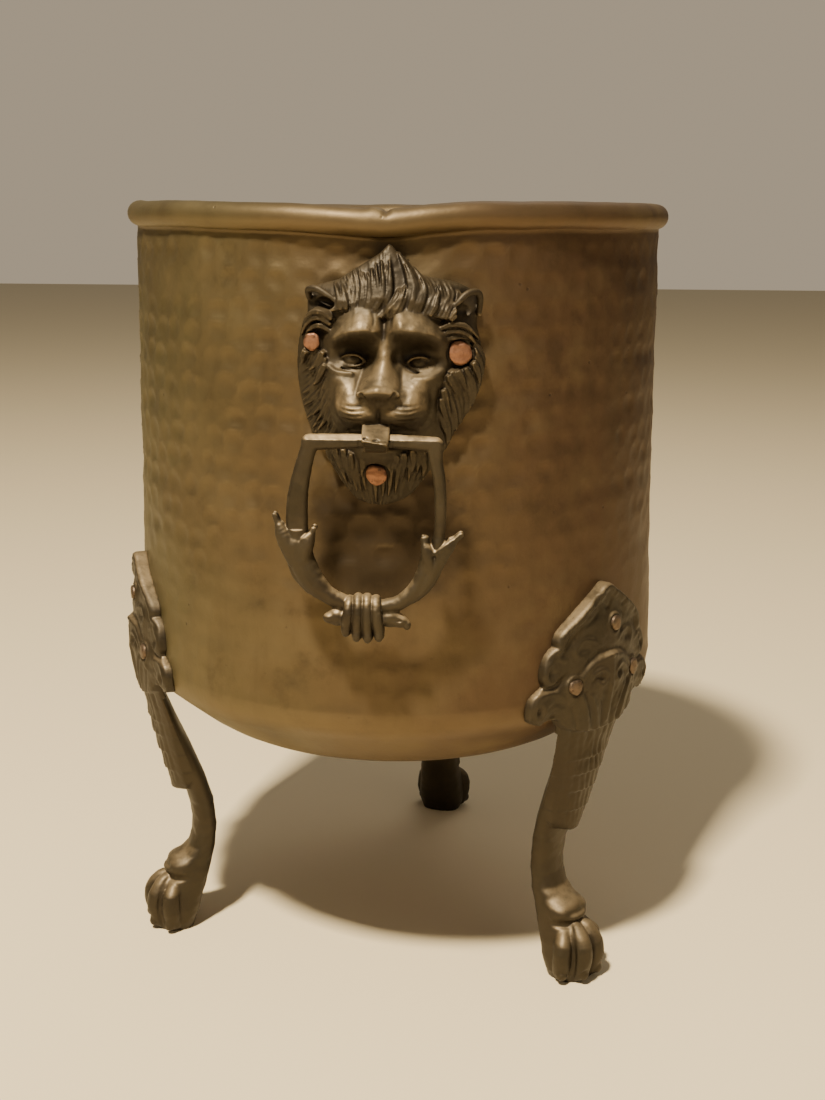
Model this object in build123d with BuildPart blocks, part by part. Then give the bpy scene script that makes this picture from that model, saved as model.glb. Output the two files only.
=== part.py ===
from build123d import *
import math
import os

# Footed brass planter pot: a sheet pot with a wired rim, two cast lion masks with
# drop handles in their mouths, and three cast paw legs, all riveted on.
# Millimetres. +Z is up and the table is at z = 0. The front lion faces -Y and the
# rear one +Y. Everything is modelled round the pot's axis at x = y = 0, and moved
# sideways by AXIS_X on export. Angles round the pot count from -Y towards +X.

os.makedirs("parts", exist_ok=True)

# The left leg reaches further out than anything on the right, so the middle of the
# whole footprint lies left of the pot's axis. The exported origin is that middle.
AXIS_X = 2.5

# ---------------------------------------------------------------- pot and rim sizes
SHEET = 1.2                 # wall thickness of the raised sheet
SEAT_GAP = 0.05             # castings seat this far off the sheet

RIM_Z = 324.5               # centre height of the wired rim
RIM_R = 111.7               # centre radius of the wired rim
BEAD_R = 5.2                # outer radius of the rolled bead
WIRE_R = 4.0                # radius of the wire inside the bead
WIRE_PLAY = 0.03            # gap between the wire and the bead
SEAM_OFFSET = 0.62 * BEAD_R  # seam in the bead, outwards and down from its centre
SEAM_GAP = 0.3
SEAM_LENGTH = 4.2

# Outside of the pot, (radius, height): cones down the wall, then arcs round
# the corner, then cones under the slightly domed base.
WALL = [(112.95, 320.0), (113.8, 250.0), (114.6, 198.0), (116.9, 134.0)]
CORNER = [(112.2, 123.2), (96.0, 109.6), (66.0, 97.8)]
BASE = [(44.0, 99.3), (20.0, 100.4), (0.0, 100.4)]

# ---------------------------------------------------------------- rivet sizes
HOLE_PLAY = 0.05            # radial clearance round pins and rivets
RIVET_R = 2.0               # shank radius of every rivet
RIVET_HOLE_R = RIVET_R + HOLE_PLAY
INNER_HEAD_R = 4.0          # flat head inside the pot
INNER_HEAD_T = 1.6
HEAD_TAPER = 22             # degrees, on the outer head
MASK_HEAD_T = 2.0           # height of the outer heads
LEG_HEAD_T = 1.9
SEAT_MARGIN = 0.9           # flat seat showing round the outer head
DRILL_INSET = 8             # a casting's rivet drill starts this far inside the wall
DRILL_DEPTH = 30

# (degrees from the mask's or leg's middle, height, outer head radius, seat radius),
# the seat radius being its distance from the pot's axis
MASK_RIVETS = [(-12.2, 279.3, 3.3, 121.2), (13.6, 275.7, 4.6, 121.2), (-0.8, 231.0, 4.0, 122.6)]
LEG_RIVETS = [(1.7, 162.5, 3.2, 121.4), (-9.4, 139.8, 3.4, 121.2), (9.4, 139.8, 3.4, 121.2)]

LEG_ANGLES = {"leg_right": 48.8, "leg_left": -71.2, "leg_rear": 168.8}

# ---------------------------------------------------------------- hinge sizes
PIVOT_R = 132.0             # hinge axis of each handle, distance from the pot's axis
PIVOT_Z = 245.0             # hinge axis height
PIVOT = (-PIVOT_R, PIVOT_Z)  # the front hinge axis on Plane.YZ
PIN_R = 2.5                 # the handle's two end pins
PIN_BORE_R = PIN_R + HOLE_PLAY
TONGUE_LEFT = -6.9          # x of the tongue lug's two sides
TONGUE_RIGHT = 4.2
TONGUE_W = TONGUE_RIGHT - TONGUE_LEFT
TONGUE_MID = (TONGUE_LEFT + TONGUE_RIGHT) / 2

# Castings are drawn on this upright plane inside the pot, extruded outwards and
# trimmed to round surfaces about the pot's axis.
FACE = Plane(origin=(0, -95, 0), x_dir=(1, 0, 0), z_dir=(0, -1, 0))
FACE_DEPTH = 45


# ---------------------------------------------------------------- geometry helpers
def around(degrees, radius, height):
    """A plane on the pot's side: x runs along the wall, y up, z outwards."""
    a = math.radians(degrees)
    return Plane(
        origin=(radius * math.sin(a), -radius * math.cos(a), height),
        x_dir=(math.cos(a), math.sin(a), 0),
        z_dir=(math.sin(a), -math.cos(a), 0),
    )


def wall_radius(height):
    """Outside radius of the pot, on its straight part."""
    if height < WALL[-1][1]:
        return WALL[-1][0] - 0.02
    for (r1, z1), (r2, z2) in zip(WALL, WALL[1:]):
        if z2 <= height <= z1:
            return r1 + (r2 - r1) * (z1 - height) / (z1 - z2)
    raise ValueError(height)


def unit(x, y):
    length = math.hypot(x, y)
    return (x / length, y / length)


def tangent_arc(start, end, heading):
    """Middle of the arc that leaves start along heading and runs to end, and the
    direction it arrives with."""
    chord = (end[0] - start[0], end[1] - start[1])
    length = math.hypot(*chord)
    turn = math.atan2(
        heading[0] * chord[1] - heading[1] * chord[0],
        heading[0] * chord[0] + heading[1] * chord[1],
    )
    c, s = math.cos(2 * turn), math.sin(2 * turn)
    arrival = (heading[0] * c - heading[1] * s, heading[0] * s + heading[1] * c)
    sag = length / 2 * math.tan(turn / 2)
    middle = (
        (start[0] + end[0]) / 2 + sag * chord[1] / length,
        (start[1] + end[1]) / 2 - sag * chord[0] / length,
    )
    return middle, arrival


def profile(distance):
    """Draws the pot's outside, moved outwards by a distance, into the
    BuildLine it is called in. Returns its first and last points."""

    def moved(point, direction):
        return (point[0] - direction[1] * distance, point[1] + direction[0] * distance)

    runs = [unit(q[0] - p[0], q[1] - p[1]) for p, q in zip(WALL, WALL[1:])]
    bends = [unit(a[0] + b[0], a[1] + b[1]) for a, b in zip(runs, runs[1:])]
    wall = [moved(p, d) for p, d in zip(WALL, [runs[0], *bends, runs[-1]])]
    Polyline(*wall)
    here, heading = WALL[-1], runs[-1]
    for end in CORNER:
        middle, arrival = tangent_arc(here, end, heading)
        chord_dir = unit(end[0] - here[0], end[1] - here[1])
        ThreePointArc(moved(here, heading), moved(middle, chord_dir), moved(end, arrival))
        here, heading = end, arrival
    base = [(r, z - distance) for r, z in BASE]
    Polyline(moved(here, heading), *base)
    return wall[0], base[-1]


def turned(part, degrees):
    """A copy of a part, turned about the pot's axis."""
    with BuildPart() as copy:
        add(part, rotation=(0, 0, degrees))
    return copy.part


# ---------------------------------------------------------------- pot shell and wire
def make_drills():
    """A drill for every rivet hole in the wall, at right angles to the pot's axis."""
    rivet_groups = [(0, MASK_RIVETS), (180, MASK_RIVETS)]
    rivet_groups += [(angle, LEG_RIVETS) for angle in LEG_ANGLES.values()]
    with BuildPart() as drills:
        for turn, rivets in rivet_groups:
            for deg, z, _, _ in rivets:
                with BuildSketch(around(deg + turn, wall_radius(z) - 5, z)):
                    Circle(RIVET_HOLE_R)
                extrude(amount=10)
    return drills.part


def make_rim_bead():
    """The rim, rolled outwards round its wire."""
    with BuildPart() as bead:
        with BuildSketch(Plane.XZ):
            with Locations((RIM_R, RIM_Z)):
                Circle(BEAD_R)
                Circle(WIRE_R + WIRE_PLAY, mode=Mode.SUBTRACT)
            # the seam where the rolled edge comes back to the wall
            with Locations((RIM_R + SEAM_OFFSET, RIM_Z - SEAM_OFFSET)):
                Rectangle(SEAM_GAP, SEAM_LENGTH, rotation=45, mode=Mode.SUBTRACT)
        revolve(axis=Axis.Z)
    return bead.part


def make_pot_shell():
    with BuildPart() as shell:
        with BuildSketch(Plane.XZ):
            with BuildLine():
                top_out, low_out = profile(0)
                top_in, low_in = profile(-SHEET)
                Line(top_out, top_in)
                Line(low_out, low_in)
            make_face()
        revolve(axis=Axis.Z)
        for drill in make_drills().solids():
            add(drill, mode=Mode.SUBTRACT, clean=False)
        add(make_rim_bead(), clean=False)
    return shell.part


def make_rim_wire():
    with BuildPart() as wire:
        with BuildSketch(Plane.XZ):
            with Locations((RIM_R, RIM_Z)):
                Circle(WIRE_R)
        revolve(axis=Axis.Z)
    return wire.part


def make_blank():
    """The pot as a solid lump, a seat gap larger than the real one: it shapes
    the backs of the castings riveted to the wall."""
    with BuildPart() as lump:
        with BuildSketch(Plane.XZ):
            with BuildLine():
                top, low = profile(SEAT_GAP)
                Polyline(top, (0, top[1]), low)
            make_face()
        revolve(axis=Axis.Z)
    return lump.part


# ---------------------------------------------------------------- lion mask
MANE_R = 119.5              # the mane's front surface, distance from the pot's axis
# outline of the mane, (x, z)
MANE = [
    (2.6, 313.5), (9.0, 309.5), (16.0, 305.5), (22.5, 303.0), (30.5, 301.0), (33.0, 295.0),
    (32.4, 288.0), (34.6, 281.0), (35.0, 272.0), (34.0, 262.0), (31.5, 253.0), (27.5, 246.0),
    (22.0, 239.0), (15.0, 231.0), (9.0, 224.0), (1.0, 219.4), (-6.0, 221.5), (-12.5, 227.0),
    (-19.0, 234.0), (-24.0, 242.0), (-27.6, 250.0), (-30.0, 260.0), (-31.6, 271.0), (-31.2, 281.0),
    (-28.8, 288.0), (-28.6, 296.0), (-25.4, 301.5), (-18.0, 303.6), (-11.0, 306.6), (-4.0, 310.6),
]

# Raised shapes, each (centres as (x, z), half width, half height)
FACE_OVAL = [([(0.8, 268.0)], 25.0, 34.0)]
BROWS = [([(-8.6, 283.0), (6.6, 283.4)], 7.4, 6.6)]
MUZZLE = [([(-7.2, 256.5), (6.0, 256.5)], 8.2, 7.2), ([(-0.6, 261.0)], 6.4, 6.6)]
CHIN = [([(-1.4, 236.5)], 11.0, 5.4)]
NOSE_BRIDGE = (-1.0, 273.0, 34.0, 11.0)  # upright slot: x, z, length, width

MOUTH_R = 4.6               # bottom radius of the channel, about the hinge axis
MOUTH_REACH = 12            # the channel is open this far in front of the hinge axis
MOUTH_HALF_W = 36
LUG_R = 5.4                 # nose radius of the tongue lug
LUG_LENGTH = 16             # from the hinge axis back into the mask
MASK_SEAT_DEPTH = 14        # length of the boss behind each rivet seat
MASK_SEAT_CUT = 20          # cleared in front of each rivet seat


def mask_layer(radius, ellipses=(), outline=None, slot=None):
    """One layer of the relief, trimmed to a radius about the pot's axis."""
    with BuildPart() as layer:
        with BuildSketch(FACE):
            if outline:
                with BuildLine():
                    Spline(*outline, periodic=True)
                make_face()
            for centres, half_width, half_height in ellipses:
                with Locations(*centres):
                    Ellipse(half_width, half_height)
            if slot:
                x, z, length, width = slot
                with Locations((x, z)):
                    SlotOverall(length, width, rotation=90)
        extrude(amount=FACE_DEPTH)
        with BuildSketch(Plane.XY.offset(200)):
            Circle(radius)
        extrude(amount=130, mode=Mode.INTERSECT)
    return layer.part


def make_lion_mask(blank):
    layers = [
        mask_layer(MANE_R, outline=MANE),
        mask_layer(123.0, FACE_OVAL),
        mask_layer(129.0, BROWS, slot=NOSE_BRIDGE),
        mask_layer(135.5, MUZZLE),
        mask_layer(127.0, CHIN),
    ]
    with BuildPart() as mask:
        for layer in layers:
            add(layer)
        # the open mouth, a channel right across for the handle's bar
        with BuildSketch(Plane.YZ.offset(-MOUTH_HALF_W)):
            with Locations(PIVOT):
                Circle(MOUTH_R)
            with Locations((-PIVOT_R - MOUTH_REACH / 2, PIVOT_Z)):
                Rectangle(MOUTH_REACH, 2 * MOUTH_R)
        extrude(amount=2 * MOUTH_HALF_W, mode=Mode.SUBTRACT)
        # the tongue, a lug that holds the bar
        with BuildSketch(Plane.YZ.offset(TONGUE_LEFT)):
            with Locations(PIVOT):
                Circle(LUG_R)
            with Locations((-PIVOT_R + LUG_LENGTH / 2, PIVOT_Z)):
                Rectangle(LUG_LENGTH, 2 * LUG_R)
        extrude(amount=TONGUE_W)
        # flat seats for the rivet heads
        for deg, z, head, seat in MASK_RIVETS:
            with BuildSketch(around(deg, seat - MASK_SEAT_DEPTH, z)):
                Circle(head + SEAT_MARGIN)
            extrude(amount=MASK_SEAT_DEPTH)
            with BuildSketch(around(deg, seat, z)):
                Circle(head + SEAT_MARGIN)
            extrude(amount=MASK_SEAT_CUT, mode=Mode.SUBTRACT)
        add(blank, mode=Mode.SUBTRACT)
        # cross bore for the handle's pins, through both sides of the tongue
        with BuildSketch(Plane.YZ.offset(TONGUE_LEFT - 1)):
            with Locations(PIVOT):
                Circle(PIN_BORE_R)
        extrude(amount=TONGUE_W + 2, mode=Mode.SUBTRACT)
        for deg, z, _, _ in MASK_RIVETS:
            with BuildSketch(around(deg, wall_radius(z) - DRILL_INSET, z)):
                Circle(RIVET_HOLE_R)
            extrude(amount=DRILL_DEPTH, mode=Mode.SUBTRACT)
    return mask.part


# ---------------------------------------------------------------- ring handle
RING_X = -3.4               # the handle hangs this far off the mask's centre line
RING_T = 6.0                # thickness of the handle, front to back
RING_PLANE = Plane(origin=(RING_X, -PIVOT_R, 0), x_dir=(1, 0, 0), z_dir=(0, -1, 0))

# half outlines of the hanging handle, top to bottom: (half width, height)
RING_OUT = [(23.2, 247.0), (25.0, 243.0), (27.0, 236.0), (29.0, 228.0), (30.4, 219.0),
            (33.4, 213.5), (31.9, 206.5), (29.4, 198.0), (25.2, 190.4), (19.4, 184.2),
            (11.0, 179.6), (0.0, 177.4)]
RING_IN = [(18.2, 243.0), (20.6, 235.0), (22.6, 226.0), (23.1, 217.0), (21.0, 211.0),
           (20.2, 204.0), (18.4, 197.0), (14.6, 190.8), (9.0, 187.4), (0.0, 186.4)]
# corners joining the tops of the two outlines
RING_TOP = [(22.6, PIVOT_Z + 2.6), (17.6, PIVOT_Z + 2.2)]

BAR_REACH = 22.0            # the bar starts this far either side of RING_X
PIN_END_GAP = 0.5           # from each pin's end to the middle of the tongue
END_PLAY = 0.45             # side play between each collar and the tongue
COLLAR_R = 3.1
COLLAR_W = 2.0

GRIP_X = -5.0               # middle of the ribbed grip
GRIP_Z = 179.4
BAND_W = 4.3                # width of each band of the grip
BAND_HALF_DEPTH = 6.2
BAND_HALF_HEIGHTS = [8.6, 9.4, 9.4, 8.6]

CUP_CENTRES = [(-27.2, 216.0), (27.2, 214.0)]  # (x from RING_X, z)
CUP_HALF_W = 4.6
CUP_HALF_H = 6.0
CUP_HALF_T = 4.2


def make_ring_handle():
    collar_left = TONGUE_LEFT - END_PLAY
    collar_right = TONGUE_RIGHT + END_PLAY
    # the bar's two halves, each ending as a pin inside the tongue, then the
    # collars beside the tongue: (radius, start x, end x)
    bar_pieces = [
        (PIN_R, RING_X - BAR_REACH, TONGUE_MID - PIN_END_GAP),
        (PIN_R, TONGUE_MID + PIN_END_GAP, RING_X + BAR_REACH),
        (COLLAR_R, collar_left - COLLAR_W, collar_left),
        (COLLAR_R, collar_right, collar_right + COLLAR_W),
    ]
    with BuildPart() as handle:
        for side in (-1, 1):
            with BuildSketch(RING_PLANE):
                with BuildLine():
                    outer = Spline(*[(side * x, z) for x, z in RING_OUT])
                    inner = Spline(*[(side * x, z) for x, z in RING_IN])
                    Line(outer @ 1, inner @ 1)
                    Polyline(outer @ 0, *[(side * x, z) for x, z in RING_TOP], inner @ 0)
                make_face()
            extrude(amount=RING_T / 2, both=True)
        for radius, start, end in bar_pieces:
            with BuildSketch(Plane.YZ.offset(start)):
                with Locations(PIVOT):
                    Circle(radius)
            extrude(amount=end - start)
        # the ribbed grip at the bottom, oval bands side by side
        for k, half_height in enumerate(BAND_HALF_HEIGHTS):
            with BuildSketch(Plane.YZ.offset(GRIP_X + (k - 2) * BAND_W)):
                with Locations((-PIVOT_R, GRIP_Z)):
                    Ellipse(BAND_HALF_DEPTH, half_height)
            extrude(amount=BAND_W)
        # raised leaf cups on the arms
        with BuildSketch(RING_PLANE):
            with Locations(*CUP_CENTRES):
                Ellipse(CUP_HALF_W, CUP_HALF_H)
        extrude(amount=CUP_HALF_T, both=True)
    return handle.part


# ---------------------------------------------------------------- legs
# horizontal sections of a leg: (height, centre radius, half thickness, half width)
LEG_SECTIONS = [
    (0.0, 107.6, 9.6, 12.6), (4.0, 107.5, 12.6, 15.0), (11.0, 107.5, 13.9, 16.2),
    (19.0, 106.4, 13.6, 15.8), (26.0, 102.6, 11.2, 13.2), (33.0, 97.8, 8.6, 10.4),
    (42.0, 93.7, 6.0, 8.8), (51.0, 93.0, 5.4, 8.4), (60.0, 94.4, 5.6, 9.4),
    (69.0, 98.6, 7.2, 13.0), (82.0, 103.4, 7.3, 15.4), (96.0, 108.0, 6.9, 17.6),
    (112.0, 112.4, 6.4, 20.5), (126.0, 115.4, 6.2, 24.0), (134.0, 117.0, 5.6, 24.0),
]
# half outline of the plate at the top of a leg: (half width, height)
LEG_PLATE = [
    (0.0, 179.0), (8.3, 173.2), (14.8, 168.2), (22.2, 162.4), (25.9, 158.2), (27.2, 154.8),
    (32.5, 151.6), (34.8, 147.6), (35.0, 142.0), (38.6, 138.6), (41.6, 135.0), (41.8, 130.0),
    (38.6, 126.2), (33.0, 124.8), (26.0, 122.6), (19.0, 119.0), (12.0, 116.6),
]
# section of the round body that trims the plate's front: (radius, height)
PLATE_TRIM = [
    (60, 90), (111.0, 90), (116.6, 108), (120.6, 124), (121.4, 140), (121.0, 160),
    (120.0, 181), (60, 181), (60, 90),
]
TOE_GAPS = [(-7.6, -16), (0.0, 0), (7.6, 16)]  # (x, degrees turned about Z)
TOE_GAP_R = 112.5           # the gaps are turned about points this far out
TOE_GAP_OUT = 8             # from there to the middle of a gap
TOE_GAP_W = 1.4
TOE_GAP_LENGTH = 9.0
TOE_GAP_H = 21
LEG_SEAT_DEPTH = 12         # length of the boss behind each rivet seat, and of the cut before it


def make_leg_plate():
    with BuildPart() as plate:
        with BuildSketch(FACE):
            with BuildLine():
                right = Spline(*LEG_PLATE)
                left = Spline(*[(-x, z) for x, z in LEG_PLATE])
                Line(right @ 1, left @ 1)
            make_face()
        extrude(amount=FACE_DEPTH)
        with BuildSketch(Plane.XZ):
            with BuildLine():
                Polyline(*PLATE_TRIM)
            make_face()
        revolve(axis=Axis.Z, mode=Mode.INTERSECT)
    return plate.part


def make_leg(blank):
    """A leg at angle 0, on the -Y side of the pot."""
    plate = make_leg_plate()
    with BuildPart() as leg:
        for z, radius, half_thickness, half_width in LEG_SECTIONS:
            with BuildSketch(Plane(origin=(0, -radius, z), x_dir=(1, 0, 0), z_dir=(0, 0, 1))):
                Ellipse(half_width, half_thickness)
        loft()
        add(plate)
        # gaps between the four toes
        for x, turn in TOE_GAPS:
            a = math.radians(turn)
            with BuildSketch(Plane(origin=(x, -TOE_GAP_R, 0), x_dir=(math.cos(a), math.sin(a), 0),
                                   z_dir=(0, 0, 1))):
                with Locations((0, -TOE_GAP_OUT)):
                    Rectangle(TOE_GAP_W, TOE_GAP_LENGTH)
            extrude(amount=TOE_GAP_H, mode=Mode.SUBTRACT)
        # flat seats for the rivet heads
        for deg, z, head, seat in LEG_RIVETS:
            with BuildSketch(around(deg, seat - LEG_SEAT_DEPTH, z)):
                Circle(head + SEAT_MARGIN)
            extrude(amount=LEG_SEAT_DEPTH)
            with BuildSketch(around(deg, seat, z)):
                Circle(head + SEAT_MARGIN)
            extrude(amount=LEG_SEAT_DEPTH, mode=Mode.SUBTRACT)
        add(blank, mode=Mode.SUBTRACT)
        for deg, z, _, _ in LEG_RIVETS:
            with BuildSketch(around(deg, wall_radius(z) - DRILL_INSET, z)):
                Circle(RIVET_HOLE_R)
            extrude(amount=DRILL_DEPTH, mode=Mode.SUBTRACT)
    return leg.part


# ---------------------------------------------------------------- rivets
def inner_head_seat(z):
    """Where a rivet's flat inner head stops: the sheet's inner face, less the
    sag of the curved wall across the head."""
    inner_wall = wall_radius(z + INNER_HEAD_R) - SHEET - 0.02
    return inner_wall - INNER_HEAD_R ** 2 / (2 * inner_wall) - 0.06


def make_rivets(rivets, head_height):
    with BuildPart() as rivet_set:
        for deg, z, head, seat in rivets:
            inside = inner_head_seat(z)
            shank_start = inside - INNER_HEAD_T / 2
            with BuildSketch(around(deg, inside - INNER_HEAD_T, z)):
                Circle(INNER_HEAD_R)
            extrude(amount=INNER_HEAD_T)
            # the shank runs from within the inner head to within the outer one
            with BuildSketch(around(deg, shank_start, z)):
                Circle(RIVET_R)
            extrude(amount=seat + 1.0 - shank_start)
            with BuildSketch(around(deg, seat + 0.02, z)):
                Circle(head)
            extrude(amount=head_height, taper=HEAD_TAPER)
    return rivet_set.part


# ---------------------------------------------------------------- build and export
pot_blank = make_blank()
pieces = {"pot_shell": make_pot_shell(), "rim_wire": make_rim_wire()}

for piece_name, front_piece in (
    ("lion_mask", make_lion_mask(pot_blank)),
    ("ring_handle", make_ring_handle()),
    ("mask_rivets", make_rivets(MASK_RIVETS, MASK_HEAD_T)),
):
    pieces[f"front_{piece_name}"] = front_piece
    pieces[f"rear_{piece_name}"] = turned(front_piece, 180)

plain_leg = make_leg(pot_blank)
plain_leg_rivets = make_rivets(LEG_RIVETS, LEG_HEAD_T)
for leg_name, angle in LEG_ANGLES.items():
    pieces[leg_name] = turned(plain_leg, angle)
    pieces[f"{leg_name}_rivets"] = turned(plain_leg_rivets, angle)

for name, piece in pieces.items():
    with BuildPart() as placed:
        with Locations((AXIS_X, 0, 0)):
            add(piece)
    placed.part.label = name
    export_step(placed.part, f"parts/{name}.step")
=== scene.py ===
"""A hammered sheet pot on three cast legs with paw feet, with a cast lion mask and a
hinged ring handle at its front and again at its rear.

The floor is z = 0 and the front faces -Y, so +X is on the right seen from the front.
Shapes are written in millimetres about the pot's axis; make_mesh turns them to metres.
Angles go round the pot from the front towards +X.
"""
import math
from functools import cached_property, partial

import bpy
import numpy as np
from mathutils import Matrix, Vector


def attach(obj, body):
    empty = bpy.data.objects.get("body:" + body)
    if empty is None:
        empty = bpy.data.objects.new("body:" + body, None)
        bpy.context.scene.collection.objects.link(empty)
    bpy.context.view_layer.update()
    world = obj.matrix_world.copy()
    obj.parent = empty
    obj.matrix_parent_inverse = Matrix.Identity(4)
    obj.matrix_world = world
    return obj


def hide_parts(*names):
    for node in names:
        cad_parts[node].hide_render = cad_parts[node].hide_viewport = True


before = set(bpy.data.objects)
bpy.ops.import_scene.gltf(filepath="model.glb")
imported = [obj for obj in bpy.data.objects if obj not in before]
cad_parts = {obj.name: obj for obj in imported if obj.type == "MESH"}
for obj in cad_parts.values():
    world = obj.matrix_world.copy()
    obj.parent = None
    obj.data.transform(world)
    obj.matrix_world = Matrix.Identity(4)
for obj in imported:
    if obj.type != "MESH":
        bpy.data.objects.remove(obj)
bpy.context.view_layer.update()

MM = 0.001
TURN = 2 * math.pi
AXIS_X = 2.5                     # the pot's axis stands this far right of the origin
MAP_R = 114.0                    # arc lengths round the wall are measured at this radius
GIRTH = TURN * MAP_R
SHEET = 1.2                      # thickness of the pot's sheet
PIVOT_R, PIVOT_Z = 132.0, 245.0  # the ring handles' hinge: distance from the axis, height
RIM_R, RIM_Z = 111.7, 324.5      # centre line of the rolled rim
BEAD_R, WIRE_R = 5.2, 3.7        # section radii of the rolled rim and of its wire

# rivets: degrees round from the casting's middle, height, head radius, seat's distance out
MASK_RIVETS = [(-12.2, 279.3, 3.3, 121.2), (13.6, 275.7, 4.6, 121.2), (-0.8, 231.0, 4.0, 122.6)]
LEG_RIVETS = [(1.7, 162.5, 3.2, 121.4), (-9.4, 139.8, 3.4, 121.2), (9.4, 139.8, 3.4, 121.2)]
LEG_ANGLES = {"leg_right": 48.8, "leg_left": -71.2, "leg_rear": 168.8}


# ------------------------------------------------------------------ fields and noise
def smoothstep(start, end, x):
    t = np.clip((np.asarray(x, float) - start) / (end - start), 0, 1)
    return t * t * (3 - 2 * t)


def bell(offset, width):
    return np.exp(-(offset / width) ** 2)


def smin(a, b, blend):
    """The lesser of two fields, rounded over where they meet."""
    if blend <= 0:
        return np.minimum(a, b)
    near = np.maximum(blend - np.abs(a - b), 0) / blend
    return np.minimum(a, b) - near * near * blend * 0.25


def smax(a, b, blend):
    return -smin(-a, -b, blend)


def along(values, count):
    """One value, or several evenly spaced, spread over count points."""
    values = np.atleast_1d(values)
    return np.interp(np.linspace(0, 1, count), np.linspace(0, 1, len(values)), values)


def noise_grid(seed, shape):
    return np.random.default_rng(seed).uniform(-1, 1, shape)


def sample_grid(grid, x, y):
    """Smooth lookup in a noise grid; x and y count cells, and x wraps round."""
    xi, yi = np.floor(x).astype(int), np.floor(y).astype(int)
    fx, fy = x - xi, y - yi
    fx, fy = fx * fx * (3 - 2 * fx), fy * fy * (3 - 2 * fy)
    nx, ny = grid.shape
    x0, x1 = xi % nx, (xi + 1) % nx
    y0, y1 = np.clip(yi, 0, ny - 1), np.clip(yi + 1, 0, ny - 1)
    return ((grid[x0, y0] * (1 - fx) + grid[x1, y0] * fx) * (1 - fy)
            + (grid[x0, y1] * (1 - fx) + grid[x1, y1] * fx) * fy)


# ------------------------------------------------------------------ curves and outlines
def catmull(a, b, c, d, t):
    """Catmull-Rom points between b and c."""
    return 0.5 * ((2 * b) + (-a + c) * t + (2 * a - 5 * b + 4 * c - d) * t ** 2
                  + (-a + 3 * b - 3 * c + d) * t ** 3)


def curve(points, count=16):
    """About count points on a smooth line through the given ones."""
    p = np.asarray(points, float)
    p = np.vstack([2 * p[0] - p[1], p, 2 * p[-1] - p[-2]])
    spans = len(p) - 3
    out = []
    for i in range(spans):
        t = np.linspace(0, 1, max(2, count // spans + 1))[:, None]
        if i < spans - 1:
            t = t[:-1]
        out.append(catmull(*p[i:i + 4], t))
    return np.vstack(out)


def closed_curve(points, count):
    p = np.asarray(points, float)
    t = np.linspace(0, 1, max(3, count // len(p)), endpoint=False)[:, None]
    looped = np.vstack([p[-1:], p, p[:2]])
    return np.vstack([catmull(*looped[i:i + 4], t) for i in range(len(p))])


def between(guides, t):
    """A guide curve part of the way along a row of them."""
    guides = np.asarray(guides, float)
    place = t * (len(guides) - 1)
    i = min(int(place), len(guides) - 2)
    return guides[i] + (guides[i + 1] - guides[i]) * (place - i)


def outline_distance(x, y, outline):
    """Signed distance on a grid to a closed outline, negative inside."""
    x, y = np.broadcast_arrays(x, y)
    nearest = np.full(x.shape, 1e9)
    inside = np.zeros(x.shape, bool)
    for a, b in zip(outline, np.roll(outline, -1, axis=0)):
        edge = b - a
        length2 = float(edge @ edge)
        if length2 < 1e-12:
            continue
        dx, dy = x - a[0], y - a[1]
        t = np.clip((dx * edge[0] + dy * edge[1]) / length2, 0, 1)
        nearest = np.minimum(nearest, (dx - t * edge[0]) ** 2 + (dy - t * edge[1]) ** 2)
        crossed = (a[1] > y) != (b[1] > y)
        if abs(edge[1]) > 1e-12:
            inside ^= crossed & (x < a[0] + edge[0] * (y - a[1]) / edge[1])
    return np.where(inside, -1, 1) * np.sqrt(nearest)


def bar_gap(coords, points, radii):
    """Signed distance to a chain of tapering round bars, in two or three dimensions."""
    best = None
    for a, b, ra, rb in zip(points[:-1], points[1:], radii[:-1], radii[1:]):
        line = b - a
        offset = [x - start for x, start in zip(coords, a)]
        t = sum(o * l for o, l in zip(offset, line)) / max(float(line @ line), 1e-9)
        t = np.clip(t, 0, 1)
        gap = np.sqrt(sum((o - t * l) ** 2 for o, l in zip(offset, line))) - (ra + t * (rb - ra))
        best = gap if best is None else np.minimum(best, gap)
    return best


# ------------------------------------------------------------------ meshes
def link_object(name, data):
    ob = bpy.data.objects.new(name, data)
    bpy.context.scene.collection.objects.link(ob)
    return ob


def make_mesh(name, verts, *face_sets):
    """A smooth object from millimetre vertices and arrays of quads or triangles."""
    me = bpy.data.meshes.new(name)
    verts = (np.asarray(verts, float) + (AXIS_X, 0.0, 0.0)) * MM
    corners = np.concatenate([faces.ravel() for faces in face_sets])
    sizes = np.concatenate([np.full(len(faces), faces.shape[1]) for faces in face_sets])
    me.vertices.add(len(verts))
    me.vertices.foreach_set("co", verts.ravel())
    me.loops.add(len(corners))
    me.loops.foreach_set("vertex_index", corners)
    me.polygons.add(len(sizes))
    me.polygons.foreach_set("loop_start", np.cumsum(sizes) - sizes)
    me.polygons.foreach_set("loop_total", sizes)
    me.polygons.foreach_set("use_smooth", np.full(len(sizes), True))
    me.update(calc_edges=True)
    me.validate()
    return link_object(name, me)


def grid_quads(columns, rows, wrap_columns=True, wrap_rows=False):
    """Quads over a grid of points stored column by column."""
    i = np.arange(columns if wrap_columns else columns - 1)[:, None]
    j = np.arange(rows if wrap_rows else rows - 1)[None, :]
    i2, j2 = (i + 1) % columns, (j + 1) % rows
    corners = ((i, j), (i2, j), (i2, j2), (i, j2))
    return np.stack([a * rows + b for a, b in corners], -1).reshape(-1, 4)


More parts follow.
